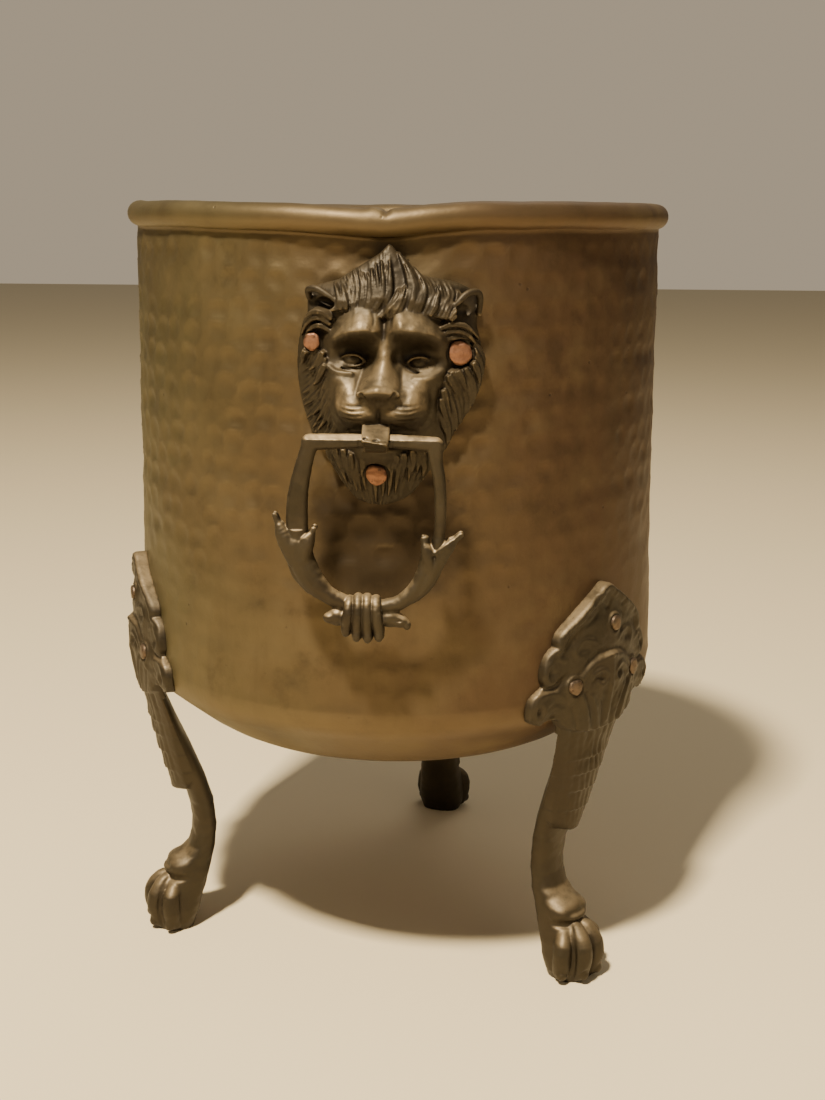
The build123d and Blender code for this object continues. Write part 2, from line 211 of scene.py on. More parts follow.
def lathe(name, angle, radius, z, closed=False, inward=False):
    """A turned surface; angle is a column, radius and z are grids (angle, profile)."""
    verts = np.stack([radius * np.sin(angle), -radius * np.cos(angle), z], -1).reshape(-1, 3)
    quads = grid_quads(*radius.shape, wrap_rows=closed)
    return make_mesh(name, verts, quads[:, [0, 3, 2, 1]] if inward else quads)


def neighbour_mean(quads, count):
    """A function that averages each point's neighbours."""
    i, j = quads.ravel(), np.roll(quads, -1, axis=1).ravel()
    a, b = np.concatenate([i, j]), np.concatenate([j, i])
    degree = np.bincount(a, minlength=count)

    def mean(values):
        total = np.stack([np.bincount(a, weights=column[b], minlength=count)
                          for column in values.T], 1)
        return np.where(degree[:, None] > 0, total / np.maximum(degree, 1)[:, None], values)
    return mean


def relax(verts, quads, rounds):
    """Even out stair steps without shrinking the piece."""
    mean = neighbour_mean(quads, len(verts))
    for _ in range(rounds):
        for weight in (0.50, -0.52):
            verts = verts + weight * (mean(verts) - verts)
    return verts


def store_tones(ob, quads, near_scale, far_scale, far_rounds, stand=None):
    """Store how far each point stands proud of, or sinks below, the surface around it."""
    me = ob.data
    count = len(me.vertices)
    verts, normals = np.zeros(count * 3), np.zeros(count * 3)
    me.vertices.foreach_get("co", verts)
    me.vertex_normals.foreach_get("vector", normals)
    verts, normals = verts.reshape(-1, 3) / MM, normals.reshape(-1, 3)
    mean = neighbour_mean(quads, count)
    far = verts.copy()
    for i in range(far_rounds):
        far = 0.5 * (far + mean(far))
        if i == 5:
            near = far.copy()
    tones = {"near": 0.5 + ((verts - near) * normals).sum(1) / near_scale,
             "far": 0.5 + ((verts - far) * normals).sum(1) / far_scale,
             "up": 0.5 + 0.5 * normals[:, 2],
             "stand": np.zeros(count) if stand is None else stand}
    for label, tone in tones.items():
        tone = np.clip(tone, -1, 2)[:, None]
        for _ in range(2):
            tone = 0.5 * (tone + mean(tone))
        attribute = me.attributes.new(label, "FLOAT", "POINT")
        attribute.data.foreach_set("value", np.clip(tone[:, 0], 0, 1).astype(np.float32))


def keep_largest(verts, quads):
    """Drop loose crumbs and unused points, keeping the biggest connected shell."""
    label = np.arange(len(verts))
    while True:
        new = label.copy()
        np.minimum.at(new, quads.ravel(), np.repeat(label[quads].min(1), 4))
        new = new[new]
        if (new == label).all():
            break
        label = new
    roots = label[quads[:, 0]]
    values, counts = np.unique(roots, return_counts=True)
    quads = quads[roots == values[np.argmax(counts)]]
    used = np.unique(quads)
    remap = np.full(len(verts), -1)
    remap[used] = np.arange(len(used))
    return verts[used], remap[quads]


def turned(verts, degrees):
    """Points turned about the pot's axis."""
    a = math.radians(degrees)
    out = verts.copy()
    out[:, 0] = verts[:, 0] * math.cos(a) - verts[:, 1] * math.sin(a)
    out[:, 1] = verts[:, 0] * math.sin(a) + verts[:, 1] * math.cos(a)
    return out


# ------------------------------------------------------------------ modelling tools
class Clay:
    """A block of space that shapes are added to and cut from; field < 0 is solid."""

    def __init__(self, low, high, step):
        self.low = np.asarray(low, float)
        self.step = step
        counts = [int(math.ceil((b - a) / step)) + 1 for a, b in zip(low, high)]
        self.axes = [start + np.arange(n) * step for start, n in zip(self.low, counts)]
        self.field = np.full(counts, 9.0, np.float32)

    def put(self, shape, low, high, blend, cut=False):
        """Add or cut shape(X, Y, Z), a signed distance, inside the box low..high."""
        pad = blend + 1.2
        window = []
        for axis, start, a, b in zip(self.axes, self.low, low, high):
            first = int(max(0, math.floor((a - pad - start) / self.step)))
            last = int(min(len(axis), math.ceil((b + pad - start) / self.step) + 1))
            window.append(slice(first, max(first, last)))
        window = tuple(window)
        new = shape(*np.ix_(*(axis[part] for axis, part in zip(self.axes, window))))
        old = self.field[window]
        self.field[window] = smax(old, -new, blend) if cut else smin(old, new, blend)

    def ball(self, centre, radii, blend, cut=False, turn=0):
        """An ellipsoid, turned some degrees about the third axis."""
        radii = np.broadcast_to(np.asarray(radii, float), 3)
        (m00, m01), (m10, m11) = np.array(Matrix.Rotation(math.radians(-turn), 2))

        def shape(X, Y, Z):
            dx, dy = X - centre[0], Y - centre[1]
            parts = (m00 * dx + m01 * dy, m10 * dx + m11 * dy, Z - centre[2])
            size = np.sqrt(sum((p / r) ** 2 for p, r in zip(parts, radii))) + 1e-6
            slope = np.sqrt(sum((p / r ** 2) ** 2 for p, r in zip(parts, radii))) + 1e-6
            return size * (size - 1) / slope

        reach = [max(radii)] * 3 if turn else radii
        self.put(shape, [c - r for c, r in zip(centre, reach)],
                 [c + r for c, r in zip(centre, reach)], blend, cut)

    def rope(self, points, radii, blend, cut=False, squash=(1, 1, 1), smooth=0):
        """A rounded bar along points, or along a curve of about smooth points."""
        points = curve(points, smooth) if smooth else np.asarray(points, float)
        radii = along(radii, len(points))
        squash = np.asarray(squash, float)

        def shape(*coords):
            scaled = [x / s for x, s in zip(coords, squash)]
            return bar_gap(scaled, points / squash, radii) * float(squash.min())

        reach = radii.max() * squash
        self.put(shape, points.min(0) - reach, points.max(0) + reach, blend, cut)

    def roughen(self, grid, corner, size, amount):
        """Roughen the skin with noise over the first and third axes."""
        skin = sample_grid(grid, (self.axes[0][:, None] - corner[0]) / size,
                           (self.axes[2][None, :] - corner[1]) / size)
        self.field += (skin * amount)[:, None, :].astype(np.float32)

    def surface(self):
        """Vertices and quads of the surface where the field is 0, by surface nets."""
        field, inside = self.field, self.field < 0
        shape = field.shape
        corners = np.zeros([n - 1 for n in shape], np.uint8)
        for corner in np.ndindex(2, 2, 2):
            corners += inside[tuple(slice(c, n - 1 + c) for c, n in zip(corner, shape))]
        active = (corners > 0) & (corners < 8)
        cells = np.argwhere(active)
        index = np.full(corners.shape, -1, np.int64)
        index[active] = np.arange(len(cells))
        total, crossings = np.zeros((len(cells), 3)), np.zeros(len(cells))
        quads = []
        for axis in range(3):
            along_axis = np.zeros(3, int)
            along_axis[axis] = 1
            others = [i for i in range(3) if i != axis]
            # where the cell's edges along this axis cross the surface
            for corner in np.ndindex(2, 2):
                start = np.zeros(3, int)
                start[others] = corner
                a = field[tuple((cells + start).T)]
                b = field[tuple((cells + start + along_axis).T)]
                cross = (a < 0) != (b < 0)
                t = np.where(cross, a / np.where(cross, a - b, 1.0), 0)
                point = start[None, :] + along_axis[None, :] * t[:, None]
                total[cross] += point[cross]
                crossings[cross] += 1
            # one quad joins the four cells round each crossed edge
            lower, upper = [slice(None)] * 3, [slice(None)] * 3
            lower[axis], upper[axis] = slice(0, -1), slice(1, None)
            starts_in = inside[tuple(lower)]
            edges = np.argwhere(starts_in != inside[tuple(upper)])
            outward = starts_in[tuple(edges.T)]
            across = edges[:, others]
            ok = ((across > 0) & (across < np.array(shape)[others] - 1)).all(1)
            edges, outward = edges[ok], outward[ok]
            ring = []
            for shift in ((1, 1), (0, 1), (0, 0), (1, 0)):
                cell = edges.copy()
                cell[:, others] -= shift
                ring.append(index[tuple(cell.T)])
            quad = np.stack(ring, 1)
            if axis == 1:
                outward = ~outward
            quad[~outward] = quad[~outward][:, ::-1]
            quads.append(quad)
        verts = (cells + total / crossings[:, None]) * self.step + self.low[None, :]
        quads = np.concatenate(quads)
        return verts, quads[(quads >= 0).all(1)]


class Relief:
    """A sheet of heights that locks of hair and chased lines are worked into.

    It is twice as fine as the clay axes it spans. The caller sets heights first.
    """

    def __init__(self, across, up, clay_step):
        self.step = clay_step / 2
        self.low = np.array([across[0], up[0]])
        self.across = across[0] + np.arange(2 * len(across) - 1) * self.step
        self.up = up[0] + np.arange(2 * len(up) - 1) * self.step

    def lock(self, points, width, heights, ridges, dome, groove):
        """A tapering lock of hair, ridged along its length."""
        p = curve(points, 48)
        run = np.r_[0, np.cumsum(np.hypot(*np.diff(p, axis=0).T))]
        t = np.linspace(0, 1, int(run[-1] / (0.5 * self.step)) + 3)
        middle = np.stack([np.interp(t * run[-1], run, p[:, i]) for i in (0, 1)], 1)
        heading = np.gradient(middle, axis=0)
        heading /= np.hypot(*heading.T)[:, None] + 1e-9
        sideways = np.stack([-heading[:, 1], heading[:, 0]], 1)
        widths = width * np.minimum(1, 0.6 + 0.4 * t / 0.2) * np.clip(1 - t ** 2.2, 0, 1) ** 0.75
        s = np.linspace(-1, 1, int(width / (0.5 * self.step)) + 3)
        spots = middle[:, None] + sideways[:, None] * (s[None, :, None] * widths[:, None, None] / 2)
        ridge = np.abs(np.sin(np.pi * (s + 1) / 2 * ridges)) ** 0.6
        raised = (along(heights, len(t))[:, None] + dome * (1 - s * s)[None, :]
                  + groove * (ridge - 1)[None, :] * (1 - 0.4 * t[:, None]))
        i, j = np.moveaxis(np.rint((spots - self.low) / self.step).astype(int), -1, 0)
        ok = (i >= 0) & (i < len(self.across)) & (j >= 0) & (j < len(self.up))
        np.maximum.at(self.heights, (i[ok], j[ok]), raised[ok])

    def stroke(self, points, radii, amounts, count=16):
        """Raise (or with a negative amount, cut) a soft line."""
        p = curve(points, count)
        radii, amounts = along(radii, len(p)), along(amounts, len(p))
        pad = 2.6 * radii.max()
        i0, i1 = np.searchsorted(self.across, [p[:, 0].min() - pad, p[:, 0].max() + pad])
        j0, j1 = np.searchsorted(self.up, [p[:, 1].min() - pad, p[:, 1].max() + pad])
        x, y = self.across[i0:i1][:, None], self.up[j0:j1][None, :]
        best = np.full((i1 - i0, j1 - j0), 1e9)
        radius, amount = np.ones_like(best), np.zeros_like(best)
        for k in range(len(p) - 1):
            line = p[k + 1] - p[k]
            t = (x - p[k, 0]) * line[0] + (y - p[k, 1]) * line[1]
            t = np.clip(t / max(float(line @ line), 1e-9), 0, 1)
            gap = np.hypot(x - p[k, 0] - t * line[0], y - p[k, 1] - t * line[1])
            near = gap < best
            best = np.where(near, gap, best)
            radius = np.where(near, radii[k] + t * (radii[k + 1] - radii[k]), radius)
            amount = np.where(near, amounts[k] + t * (amounts[k + 1] - amounts[k]), amount)
        self.heights[i0:i1, j0:j1] += amount * bell(best, radius)

    def soften(self, times):
        for _ in range(times):
            for axis in (0, 1):
                a = np.moveaxis(self.heights, axis, 0)
                a[1:-1] = 0.25 * a[:-2] + 0.5 * a[1:-1] + 0.25 * a[2:]

    def roughen(self, grid, corner, *layers):
        """Add noise; layers are (size, amount), the second with the grid turned over."""
        x, y = self.across[:, None] - corner[0], self.up[None, :] - corner[1]
        (size, amount), (fine_size, fine_amount) = layers
        self.heights += (amount * sample_grid(grid, x / size, y / size)
                         + fine_amount * sample_grid(grid.T, x / fine_size, y / fine_size))

    def on_clay(self, steepest):
        """Heights at the clay's points, and the slope factor that makes them distances."""
        heights = self.heights[::2, ::2]
        dx, dy = np.gradient(heights, 2 * self.step)
        return heights, np.sqrt(1 + np.minimum(dx ** 2 + dy ** 2, steepest))


# ------------------------------------------------------------------ the pot
# upright wall: radius, height, from the rim down
UPRIGHT = np.array([(112.95, 320), (113.8, 250), (114.6, 198), (116.9, 134)])
WALL_FOOT_Z = UPRIGHT[-1, 1]


def tangent_arcs(start, heading, stops):
    """Points along arcs that each leave in the last one's direction."""
    points = [start]
    heading = heading / np.hypot(*heading)
    for stop in stops:
        origin = points[-1]
        chord = np.array(stop) - origin
        normal = np.array([-heading[1], heading[0]])
        aside = float(chord @ normal)
        curvature = 2 * aside / float(chord @ chord)
        sweep = 2 * math.atan2(aside, float(chord @ heading))
        for i in range(1, 11):
            a = sweep * i / 10
            move = heading * math.sin(a) + normal * (1 - math.cos(a))
            points.append(origin + move / curvature)
        heading = heading * math.cos(sweep) + normal * math.sin(sweep)
    return np.array(points)


CORNER = tangent_arcs(UPRIGHT[-1], UPRIGHT[-1] - UPRIGHT[-2],
                      [(112.2, 123.2), (96.0, 109.6), (66.0, 97.8)])
# from the middle of the base out to the foot of the upright wall
BASE = np.vstack([CORNER, [(44.0, 99.3), (20.0, 100.4), (0.0, 100.4)]])[::-1]


def wall_radius(z):
    """Radius of the upright part of the wall at a height."""
    return np.interp(np.asarray(z, float), UPRIGHT[::-1, 1], UPRIGHT[::-1, 0])


# the knock under the front of the rim
KNOCK_DEG = 0.8
CREASE_DEG = 0.7


def dent(angle, z):
    """How far the knock has pushed the wall in."""
    aside = np.degrees(angle) - KNOCK_DEG
    return 3.4 * bell(aside, np.where(aside < 0, 26, 12)) * smoothstep(280, 318, z)


def rim_drop(angle):
    """How far the knock has pushed the rim down."""
    aside = np.degrees(angle) - KNOCK_DEG
    left = bell(aside, 30) * 0.5 + bell(aside, 11) * 0.5
    right = bell(aside, 8) * 0.7 + bell(aside, 20) * 0.3
    return 3.1 * np.where(aside < 0, left, right)


def crease(angle, z):
    """A narrow inward ripple below the split in the rim."""
    return 1.5 * bell(np.degrees(angle) - CREASE_DEG, 2.2) * smoothstep(309, 318, z)


def hammer_blows():
    """Rows of blows: arc, height, half width, half height, depth, tilt."""
    rng = np.random.default_rng(11)
    blows = []
    row_z = 311.0
    while row_z > 136:
        arc = rng.uniform(0, rng.uniform(9.0, 12.0))
        while arc < GIRTH:
            blows.append((arc + rng.uniform(-1.4, 1.4), row_z + rng.uniform(-1.2, 1.2),
                          rng.uniform(4.2, 6.0), rng.uniform(3.9, 5.2),
                          rng.uniform(0.40, 1.0), rng.uniform(-0.4, 0.4)))
            arc += rng.uniform(9.4, 13.4)
        row_z -= rng.uniform(9.6, 11.0)
    return blows


BLOWS = hammer_blows()
BROAD_NOISE = noise_grid(3, (40, 24))
MID_NOISE = noise_grid(4, (96, 40))
RIM_NOISE = noise_grid(5, (24, 9))


def hammer_field(angle, z):
    """Depth of the hammering over a column of angles and a row of heights."""
    arc = (angle % TURN) * MAP_R
    depth = np.zeros(np.broadcast(arc, z).shape)
    for blow_arc, blow_z, half_w, half_h, strike, tilt in BLOWS:
        aside = (arc[:, 0] - blow_arc + GIRTH / 2) % GIRTH - GIRTH / 2
        i = np.where(np.abs(aside) < half_w * 1.5)[0]
        j = np.where(np.abs(z[0] - blow_z) < half_h * 1.5)[0]
        du = aside[i][:, None] / half_w
        dv = (z[0, j][None, :] - blow_z) / half_h + tilt * du * 0.4
        away = np.sqrt(du * du + dv * dv)
        bowl = -0.80 * np.clip(1 - away * away, 0, 1) ** 1.3
        upper = np.clip(dv / np.maximum(away, 1e-3), 0, 1)
        lip = 0.34 * bell(away - 1.04, 0.20) * (0.35 + 1.0 * upper)
        depth[np.ix_(i, j)] += strike * (bowl + lip)
    strength = 0.30 + 0.70 * smoothstep(165, 235, z)
    broad = sample_grid(BROAD_NOISE, arc / GIRTH * 40, (z - 90) / 240 * 24) * 0.38
    mid = sample_grid(MID_NOISE, arc / GIRTH * 96, (z - 90) / 240 * 40) * 0.12
    # the wall on the right is hammered more gently
    signed = (angle + math.pi) % TURN - math.pi
    quiet = smoothstep(0.10, 0.75, signed) * smoothstep(2.2, 1.4, signed)
    return depth * strength * (1 - 0.5 * quiet) + broad + mid


def sheet_relief(angle, radius, z):
    """The hammering, faded out towards the base's middle and the rim."""
    return (hammer_field(angle, z) * smoothstep(8, 60, radius)
            * (1 - 0.65 * smoothstep(318, 320, z)) * (0.25 + 0.75 * smoothstep(100, 140, z)))


def pot_profile(n_wall, n_bead, n_base):
    """Rows of radius, height and 1 on the rim's bead, from the base's middle up."""
    run = np.r_[0, np.cumsum(np.hypot(*np.diff(BASE, axis=0).T))]
    t = np.linspace(0, run[-1], n_base)
    base = zip(np.interp(t, run, BASE[:, 0]), np.interp(t, run, BASE[:, 1]))
    rows = [(max(r, 0.0), z, 0) for r, z in base]
    rows += [(float(wall_radius(z)), z, 0) for z in np.linspace(WALL_FOOT_Z, 319.4, n_wall)[1:]]
    rows += [(RIM_R + BEAD_R * math.cos(a), RIM_Z + BEAD_R * math.sin(a), 1)
             for a in np.linspace(math.radians(-72), math.radians(270), n_bead)]
    return np.array(rows)


def column_angles(columns):
    return (np.arange(columns) / columns * TURN - math.pi)[:, None]


def build_pot_outside():
    angle = column_angles(560)
    r, z, bead = pot_profile(n_wall=118, n_bead=22, n_base=24).T[:, None, :]
    cell = (angle % TURN) / TURN * 24
    wobble = sample_grid(RIM_NOISE, cell, np.zeros_like(angle)) * 0.35
    fine = 0.12 * sample_grid(RIM_NOISE, cell * 4, np.full_like(angle, 4.0))
    degrees = np.degrees(angle)
    split = bell(degrees - CREASE_DEG, 0.55) * bead * smoothstep(325.5, 328.5, z)
    fold = bell(degrees + 1.6, 1.1) * bead * smoothstep(326.0, 329.0, z)
    radius = (r + sheet_relief(angle, r, z) * (1 - bead) - dent(angle, z) * (1 - 0.85 * bead)
              - crease(angle, z) * (1 - bead) + bead * wobble * 0.5)
    height = z - rim_drop(angle) * smoothstep(285, 322, z) + bead * (wobble + fine)
    height = height - split * 1.1 + fold * 0.55
    return lathe("pot_outside", angle, radius, height)


def build_pot_inside():
    """The inside of the sheet, its thickness in from the outside."""
    angle = column_angles(260)
    r, z, _ = pot_profile(n_wall=80, n_bead=0, n_base=22).T
    dr, dz = np.gradient(r), np.gradient(z)
    length = np.hypot(dr, dz)
    inner_r = r - SHEET * dz / length
    inner_z = z + SHEET * dr / length
    inner_r[0] = 0.0
    inner_r = np.maximum(inner_r, 0)
    r, z = r[None, :], z[None, :]
    radius = (inner_r[None, :] + sheet_relief(angle, r, z) * 0.9 - dent(angle, z)
              - crease(angle, z))
    height = inner_z[None, :] - rim_drop(angle) * smoothstep(285, 322, z)
    return lathe("pot_inside", angle, radius, height, inward=True)


def build_wire():
    """The wire inside the rolled rim, bent down and in with it."""
    angle = (np.arange(240) / 240 * TURN)[:, None]
    section = (np.arange(20) / 20 * TURN)[None, :]
    signed = (angle + math.pi) % TURN - math.pi
    radius = RIM_R + WIRE_R * np.cos(section) - dent(signed, 320.0) * 0.15
    z = RIM_Z + WIRE_R * np.sin(section) - rim_drop(signed)
    return lathe("bent_rim_wire", angle, radius, z, closed=True)


# ------------------------------------------------------------------ lion mask
# In the mask's tables x is the distance round the wall, y the height up the pot and
# z the height above the wall.

# outline of the mane: x, y, from the top down the right side and round
MANE = [
    (2.8, 314), (7, 309.4), (10.5, 306.6), (14.5, 303.4), (19.6, 302.2), (26.1, 301),
    (31, 299.2), (34.2, 296.8), (35.2, 291.5), (34.6, 285.5), (36, 279.5), (36.6, 273),
    (35.6, 266.2), (33, 258), (30.6, 251.5), (27, 246.2), (24.4, 240.8), (20.4, 235.2),
    (16, 229.2), (11.6, 223.4), (7, 220.2), (0.2, 218.4), (-7.6, 219.6), (-11.6, 223),
    (-16.8, 230), (-21, 238.2), (-25.6, 244.4), (-28, 250), (-30.4, 258.7), (-31.6, 268.2),
    (-31.4, 276.4), (-30.2, 283.2), (-27.8, 288.4), (-27.6, 294), (-25.8, 298.6),
    (-21.6, 300.2), (-16.4, 301.6), (-12.6, 304), (-9, 306.2), (-5, 308.6), (-1.2, 311),
    (0.8, 313)]

# the bare head: distance either side of the face's middle, y, z
FACE = [
    (0, 296, 10.2), (7, 296, 9.8), (14, 296, 8.8), (20, 296, 7.4),
    (0, 291.5, 11.4), (6, 291.5, 12.6), (12, 291, 11.4), (18, 290, 8.8), (23, 289, 6.6),
    (0, 287, 12.2), (4, 287, 15.8), (8, 287, 16), (13, 286.5, 13.8), (18, 285, 9.4),
    (22, 284, 6.8),
    (0, 283, 13.2), (3.5, 283.4, 16.8), (8, 283.4, 18), (12.5, 282.6, 16.8),
    (17, 280.8, 13.6), (20.5, 278.6, 9.2), (24, 277, 6),
    (0, 279, 14), (3.2, 279.2, 12.8), (7.5, 279.2, 10.2), (12, 279, 9.4), (16, 277.6, 10),
    (19.4, 275.5, 9.8),
    (0, 275.5, 15.2), (2.6, 275.5, 12.8), (5.2, 275.2, 8.4), (11, 275.6, 6.8),
    (16, 274.2, 8.6), (20, 272, 9.4), (23.4, 271, 6),
    (0, 272, 16.4), (2.8, 271.8, 13.8), (5.4, 271.4, 9.6), (11, 271.4, 8.4),
    (16.4, 270.6, 10.4), (20, 268.6, 9.8),
    (0, 268.6, 18.8), (3.4, 268.2, 16.2), (6, 268, 12.4), (10, 267.8, 12.4),
    (14.6, 267.2, 13.4), (18.4, 266, 11.4), (22.6, 264.5, 6.2),
    (0, 265.2, 22), (3.8, 265, 19.8), (6.8, 264.6, 15.4), (10, 264.4, 15.2),
    (14.2, 263.6, 14), (18.2, 262, 10.6),
    (0, 262, 23.2), (5.2, 262, 21.2), (7.6, 261.4, 17), (10, 261.6, 17.2), (14, 260.6, 14.6),
    (18, 258.6, 9.6), (22, 258, 5.8),
    (0, 258.2, 20.2), (3, 258.2, 19.4), (6, 258.6, 18.6), (9.2, 258.2, 18.8),
    (12.8, 257.4, 16.6), (16.2, 256, 12.2),
    (0, 254.4, 18.2), (3, 254.2, 19.4), (7, 254.4, 20), (10.8, 254, 18.4), (14.2, 253.2, 14),
    (17.6, 252, 8.8), (21, 251, 5.6),
    (0, 251.2, 17), (4, 251, 18), (8.4, 251, 16.8), (12, 250.2, 13.2), (15, 249, 9.8),
    (0, 247.4, 12.6), (6, 247.2, 12.4), (10, 247, 11), (14, 246, 8.4), (18, 245, 6),
    (0, 243, 12.2), (5, 243, 11.8), (9, 242.6, 10), (13, 241.5, 7.4),
    (0, 239.4, 14), (4.4, 239.4, 13), (8.4, 238.6, 10), (12.4, 237, 6.8), (17, 238, 5),
    (0, 234.8, 10.6), (5, 234.8, 9.4), (10, 233, 6.8), (0, 230, 8), (6, 229, 6.8),
    (0, 223.5, 6), (6, 224, 5.2), (11, 227, 4.8),
    (27, 286, 5.6), (28, 274, 5.4), (28, 264, 5), (25.5, 255, 4.8), (22, 246, 4.6),
    (24, 294, 5.6), (15, 301, 5.4), (8, 303.5, 6.2), (0, 303.5, 6.8), (0, 310, 5),
    (0, 219.5, 4.4), (33, 280, 4.6)]

# guides for the hair, each x, y from root to tip; a comb of locks runs between guides
CREST_LEFT = [
    [(-16.3, 290.5), (-17.3, 292.9), (-18.4, 295.5), (-19.9, 298.9)],
    [(-12.3, 291.3), (-12.9, 295.2), (-14.4, 298.7), (-16.4, 302.2)],
    [(-8.6, 291), (-8.3, 295.2), (-9.2, 299.7), (-11.3, 305.2)],
    [(-5.5, 290.7), (-4.3, 295.2), (-4.6, 300.3), (-6.6, 308)],
    [(-3.4, 290.3), (-0.6, 294.5), (0, 300.9), (-1.6, 311.2)],
    [(-2.1, 290), (2.1, 294.8), (3.4, 301.6), (2.8, 315)]]
CREST_RIGHT = [
    [(7.4, 290), (9.1, 295.8), (8.3, 304.2), (3.8, 314.2)],
    [(9.8, 290), (11.7, 295.8), (11.7, 300.9), (8.4, 309.6)],
    [(12.3, 290), (14.1, 295.2), (15.3, 299.7), (12.6, 305.4)],
    [(15.3, 289.4), (17.8, 294.5), (18.1, 298.4), (16.4, 302.8)],
    [(17.8, 288.7), (20.6, 293.9), (21.5, 297.7), (20.2, 302)],
    [(20.9, 288.1), (23, 292.6), (24.5, 296.4), (23.6, 301.2)],
    [(23, 287.8), (25.8, 291), (27.6, 295.2), (27, 300.2)]]
FORELOCKS = [
    [(-1.8, 288.7), (1.2, 291.6), (4, 295.5), (5.5, 299.4)],
    [(1.2, 288.4), (4.2, 292.3), (6.4, 295.8), (7.7, 300.4)],
    [(5.5, 288.1), (7.1, 291.9), (8.5, 295.8), (9.2, 300.2)]]
TEMPLE_LEFT = [
    [(-16.6, 287.6), (-20.6, 290.4), (-24.6, 289.2), (-28.6, 284.2)],
    [(-17, 285.6), (-21, 288.2), (-25, 286.6), (-29, 281)],
    [(-17.6, 283.4), (-20.9, 285.4), (-24.6, 284), (-27.8, 279.6)]]
TEMPLE_RIGHT = [
    [(19.4, 284.4), (23.6, 286.2), (28.6, 285.2), (34.6, 280.2)],
    [(19.8, 282.2), (23.9, 283.8), (28.9, 282.6), (34.6, 276.6)],
    [(20.4, 280), (23.9, 281.4), (28.2, 280.6), (32.4, 276.4)]]
SIDE_LEFT = [
    [(-27, 278.5), (-29, 275.2), (-29.8, 271.4), (-30.6, 266.5)],
    [(-19.3, 275.9), (-21.5, 272), (-25.2, 268.8), (-30.8, 266.2)],
    [(-19, 272), (-21.2, 267.5), (-24.8, 264), (-30.4, 260.4)],
    [(-18.4, 268.2), (-20.9, 262.4), (-24.2, 258.9), (-29.6, 254.8)],
    [(-17.5, 263.7), (-20.2, 257.9), (-23.6, 254), (-28.4, 249.6)],
    [(-16.3, 259.8), (-19.3, 253.4), (-22.4, 249), (-26.6, 244.6)],
    [(-15.6, 255.3), (-18.1, 249.5), (-20.7, 245.4), (-24.4, 240.8)],
    [(-14.1, 250.2), (-16.3, 246.3), (-18.4, 242.2), (-21.8, 237.4)]]
SIDE_RIGHT = [
    [(32.4, 280.4), (35, 275.9), (35.8, 270.7), (34.9, 264.6)],
    [(31, 271.4), (33.4, 266.9), (34.2, 262), (33.2, 256.6)],
    [(27, 269.5), (29.8, 264.3), (31.6, 259.4), (31.8, 253.4)],
    [(23.9, 269.5), (27, 263.7), (29.4, 257.9), (30.2, 250.8)],
    [(22.1, 266.9), (24.5, 261.1), (26.9, 255), (28.4, 247.6)],
    [(20.9, 262.4), (22.7, 256), (24.8, 249.8), (26, 243.8)],
    [(20.2, 257.2), (21.2, 251.5), (22.8, 245.9), (23.4, 239.6)]]
BEARD = [
    [(-19.3, 242.2), (-19, 238.3), (-17.9, 234.5), (-16.6, 229.8)],
    [(-16, 241.5), (-15.3, 235.4), (-14, 230.3), (-12.6, 224)],
    [(-12.3, 240.6), (-11.7, 233.5), (-10.4, 227), (-8.9, 220.2)],
    [(-8.6, 238), (-8.3, 231.5), (-7.1, 224.5), (-5.3, 218.6)],
    [(-2.5, 236.7), (-2.5, 230.3), (-2.1, 223.8), (-1.8, 217.2)],
    [(3.7, 238), (3.4, 231.5), (2.7, 224.5), (1.8, 217.8)],
    [(7.4, 239.2), (7.1, 232.8), (6.3, 227), (5.7, 220)],
    [(11, 240.9), (11.7, 234.8), (11.3, 230.3), (10.4, 223.6)],
    [(15, 241.9), (15.8, 237.3), (16.2, 233.5), (15.6, 227.6)]]

